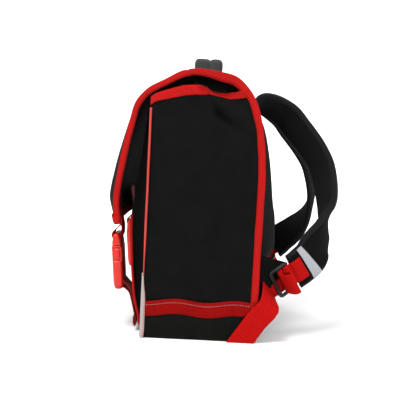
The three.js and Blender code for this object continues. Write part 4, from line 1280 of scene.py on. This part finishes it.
def closureWebbing():
    edge = buckle["offset"] + buckle["webbing"] / 2
    behindHem = 5.6

    def inside(distance):
        stop = stopBeforeHem(distance)
        at = onCover(stop, flapCrownAt(min(stop, flapStop)) * crownAcross(edge) - behindHem)
        return Vector((buckle["offset"], at.y, at.z))

    eye = buckle["plug"] * 0.42
    thick = buckle["thickness"]
    upper = [inside(40), inside(20), inside(3)]
    upper += [onBuckle(*at) for at in ((-7, thick + 0.4), (-2, thick), (eye - 4, thick - 0.6),
                                       (eye - 0.4, thick - 2.6), (eye + 0.4, thick / 2), (eye - 0.4, 3),
                                       (eye - 4, 1.9), (-1, 3), (-5.5, 7.5), (-9.5, 12.2), (-13, 14.6))]
    bar = buckle["plug"] + buckle["socket"] - buckle["bar"] - buckle["slot"] / 2
    puff = pocketPuff(edge - buckle["webbing"])

    def pocketAt(z, off):
        share = (z - pocket["foot"]) / (pocket["top"] - pocket["foot"])
        stand = pocketStand(z) + puff * math.sin(math.pi * max(0, share))
        return Vector((buckle["offset"], -halfDepth - clearance - stand - off, z))

    lower = [pocketAt(*at) for at in ((16, 1.4), (30, 1.5), (44, 1.9), (56, 3.4))]
    lower += [onBuckle(bar + down, inward) for down, inward in (
        (-1, thick + 0.3), (-5, thick - 3), (-6.5, thick / 2), (-3.5, 4.6), (1, 6.4), (4.6, thick - 3))]
    lower += [pocketAt(*at) for at in (
        (54, 6), (44, 4.6), (30, 5), (18, 5.8), (9.5, 6.4), (7.8, 7.6), (9.5, 8.8), (19, 8.2))]
    return [(at, (1, 0, 0)) for at in upper], [(at, (1, 0, 0)) for at in lower]


upperRun, lowerRun = closureWebbing()
closureProfile = flatProfile(webbing["closure"], webbing["thickness"], 12)
bothSides("upperWebbing", lambda: bandAlong(upperRun, closureProfile, 110), "upper_closure_webbing",
          redWebbing, "red_webbing")
# The lower closure webbing gets the darker copy of the red webbing, which paints in its shade
bothSides("lowerClosure", lambda: bandAlong(lowerRun, closureProfile, 220), "lower_closure_webbing",
          paintedShadeWebbing, "red_webbing")
print("closures made")


# Adjusters at the straps' ends
adjuster = {"lockLength": 30, "lockThickness": 4, "gap": 6, "bar": 4, "upperSlot": 9.5, "tail": 31,
            "patch": 24, "seatSlack": 1.4}


def adjusterStations(side):
    # Stations of the strap-end webbing and of the lower webbing, drawn on the right
    end = frameOf[side](1)

    def station(down, out):
        return end[0] + end[1] * down + end[3] * out, end[2]

    def onStrap(share, out):
        at, run, wide, face = frameOf[side](share)
        return at + face * out, wide

    upper = adjuster["gap"] + adjuster["bar"]
    middle = upper + adjuster["upperSlot"]
    lower = middle + adjuster["bar"]
    off = adjuster["lockThickness"] / 2 + clearance + webbing["thickness"] / 2

    def halfTurn(centre, way):
        return [station(centre + way * off * math.sin(a), -off * math.cos(a))
                for a in (math.radians(degrees) for degrees in (0, 45, 90, 135, 180))]

    seat = strap["thickness"] / 2 + 0.6 + webbing["thickness"] / 2
    reach = adjuster["patch"] / strap["length"]
    patch = [onStrap(1 - reach, seat), onStrap(1 - reach / 2, seat),
             onStrap(1, seat - adjuster["seatSlack"]), station(adjuster["gap"] / 2, off + 0.6)]
    patch += halfTurn(upper + 0.3, 1)[::-1]
    patch += [station(adjuster["gap"] + 0.3, -off), station(adjuster["gap"] / 2, -off)]

    outside = halfWidth + 0.9 + body["tape"] + webbing["thickness"] / 2
    corner = [((outside, backFace * 0.6, -14), (0, -0.82, 0.57)),
              ((outside, backFace * 0.8, 9), (0, -0.82, 0.57)),
              ((outside, backFace * 0.99, 31), (0, -0.8, 0.6)),
              ((outside - 1, backFace * 1.18, 50), (0, -0.74, 0.67))]
    past = adjuster["lockLength"] + adjuster["gap"]
    loop = [station(past + 6, -off - 1), station(past, -off), station(lower, -off)]
    loop += halfTurn(middle - 0.3, -1)
    # The tail stands out from the lock and is folded back on itself
    long = adjuster["tail"]
    loop += [station(lower + down, off + out) for down, out in ((1, 2.5), (3.5, 7), (4.5, long / 2),
                                                                (3.4, long - 4), (0, long - 1),
                                                                (-3.4, long - 4), (-4.2, long / 2),
                                                                (-2.5, 8))]
    return patch, corner + loop


adjusterProfile = flatProfile(webbing["adjuster"], webbing["thickness"], 10)


for side in sideTurn:
    patch, strip = adjusterStations(side)
    finished(f"strapEnd_{side}", sided(bandAlong(patch, adjusterProfile, 110), side), redWebbing,
             [f"strap_end_webbing_{side}"])
    low = bandAlong(strip, adjusterProfile, 260)
    cutBeyond(low, (0, 0, 0.3), (0, 0, -1))
    bmesh.ops.holes_fill(low, edges=[edge for edge in low.edges if edge.is_boundary], sides=0)
    finished(f"lowerWebbing_{side}", sided(low, side), redWebbing, [f"lower_webbing_{side}"])

# Reflective tape across the straps' outer faces
reflector = {"width": 15, "fromEnd": 37, "thickness": 0.8}


def reflectorGrid(side):
    def place(across, share):
        along = 1 - (reflector["fromEnd"] - reflector["width"] * (share - 0.5)) / strap["length"]
        at, run, wide, face = frameOf[side](along)
        spot = (across - 0.5) * (strapWidthAt(along) - 3)
        under = strapHalfThickness(0.5 + spot / strapWidthAt(along), along)
        return at + wide * spot + face * (under + 1.3)
    bm = clothGrid(24, 14, place, (50, 24))
    return outwardFaces(bm, lambda at: frameOf[side](0.86)[3])


perSide("strapReflector", reflectorGrid, "strap_reflector", silverTape, "reflective_tape",
        reflector["thickness"])
print("adjusters made")

# Cloth wings: triangles from the back's lower edge out to the adjusters
wing = {"foot": 47, "top": 115, "inset": 8, "behind": 5, "down": 9, "tipDown": 10, "tipUp": 17, "wall": 1.5}


def wingGrid(side):
    end, run, wide, face = frameOf[side](1)
    apex = end + run * wing["down"] - face * wing["behind"]

    def place(out, up):
        z = mix(wing["foot"], wing["top"], up)
        seat = onCover(stopAtHeight(z, 5), 5)
        root = Vector((coverHalf - wing["inset"], seat.y + 0.4, z))
        tip = apex + Vector((0, 0, mix(-wing["tipDown"], wing["tipUp"], up)))
        at = root.lerp(tip, out)
        sag = 3.5 * math.sin(math.pi * out) * math.sin(math.pi * up)
        return at + Vector((sag + 1.2 * ripple(0, at.y, at.z, 16, 61) * out * (1 - out) * 4, 0, 0))
    bm = clothGrid(26, 30, place, (42, 61))
    return outwardFaces(bm, lambda at: Vector((1, 0, 0)))


perSide("webbingWing", wingGrid, "webbing_wing", blackCloth, "black_cloth", wing["wall"])
print("wings made")


# Studio: a pale dish of a floor with a rounded rim, soft lights and the photograph's camera
studio = {"floor": (0.95, 0.95, 0.95), "world": 0.62, "flat": 2.2, "rim": 1.3}


def makeStudio():
    outline = [(0.001, 0), (studio["flat"], 0)]
    for i in range(1, 13):
        angle = math.radians(80) * i / 12
        outline.append((studio["flat"] + studio["rim"] * math.sin(angle),
                        studio["rim"] * (1 - math.cos(angle))))
    outline.append((outline[-1][0] + 0.12, outline[-1][1] + 0.7))
    bm = bmesh.new()
    path = [bm.verts.new((radius, 0, height)) for radius, height in outline]
    edges = [bm.edges.new(pair) for pair in zip(path, path[1:])]
    bmesh.ops.spin(bm, geom=path + edges, axis=(0, 0, 1), cent=(0, 0, 0), angle=2 * math.pi, steps=72,
                   use_duplicate=False)
    bmesh.ops.remove_doubles(bm, verts=bm.verts, dist=0.002)
    bmesh.ops.recalc_face_normals(bm, faces=bm.faces)
    data = bpy.data.meshes.new("floor")
    bm.to_mesh(data)
    bm.free()
    data.shade_smooth()
    floor = bpy.data.objects.new("floor", data)
    bpy.context.scene.collection.objects.link(floor)
    material, tree, shader = startMaterial("floorPaint", 0.9, 0.05)
    shader.inputs["Base Color"].default_value = (*studio["floor"], 1)
    data.materials.append(material)
    world = bpy.data.worlds.new("studio")
    world.use_nodes = True
    world.node_tree.nodes["Background"].inputs["Color"].default_value = (1, 1, 1, 1)
    world.node_tree.nodes["Background"].inputs["Strength"].default_value = studio["world"]
    bpy.context.scene.world = world


def areaLight(name, at, target, size, power):
    lamp = bpy.data.lights.new(name, "AREA")
    lamp.size, lamp.energy = size, power
    light = bpy.data.objects.new(name, lamp)
    bpy.context.scene.collection.objects.link(light)
    light.location = at
    light.rotation_mode = "QUATERNION"
    light.rotation_quaternion = (Vector(target) - Vector(at)).to_track_quat("-Z", "Y")


def makeCamera():
    view = {"at": (1.0532, -0.0069, 0.2497), "down": 2.02, "roll": 2.753, "lens": 62.675, "shift": -0.0625}
    lens = bpy.data.cameras.new("camera")
    lens.lens, lens.sensor_width, lens.shift_y = view["lens"], 36, view["shift"]
    camera = bpy.data.objects.new("camera", lens)
    bpy.context.scene.collection.objects.link(camera)
    roll, down = math.radians(view["roll"]), math.radians(view["down"])
    right = Vector((0, math.cos(roll), math.sin(roll)))
    upright = Vector((0, -math.sin(roll), math.cos(roll)))
    up = upright * math.cos(down) - Vector((1, 0, 0)) * math.sin(down)
    back = right.cross(up)
    turn = Matrix((right, up, back)).transposed()
    camera.matrix_world = Matrix.Translation(view["at"]) @ turn.to_4x4()
    bpy.context.scene.camera = camera


makeStudio()
areaLight("key", (0.9, -0.6, 1.6), (0, 0, 0.2), 0.8, 34)
areaLight("backdrop", (-1.2, 0, 2.2), (-3.2, 0, 0.6), 1.6, 70)
areaLight("fill", (1.0, 1.4, 1.0), (0, 0, 0.2), 1.0, 12)
makeCamera()
bpy.context.scene.view_settings.view_transform = "Standard"
print("studio made")
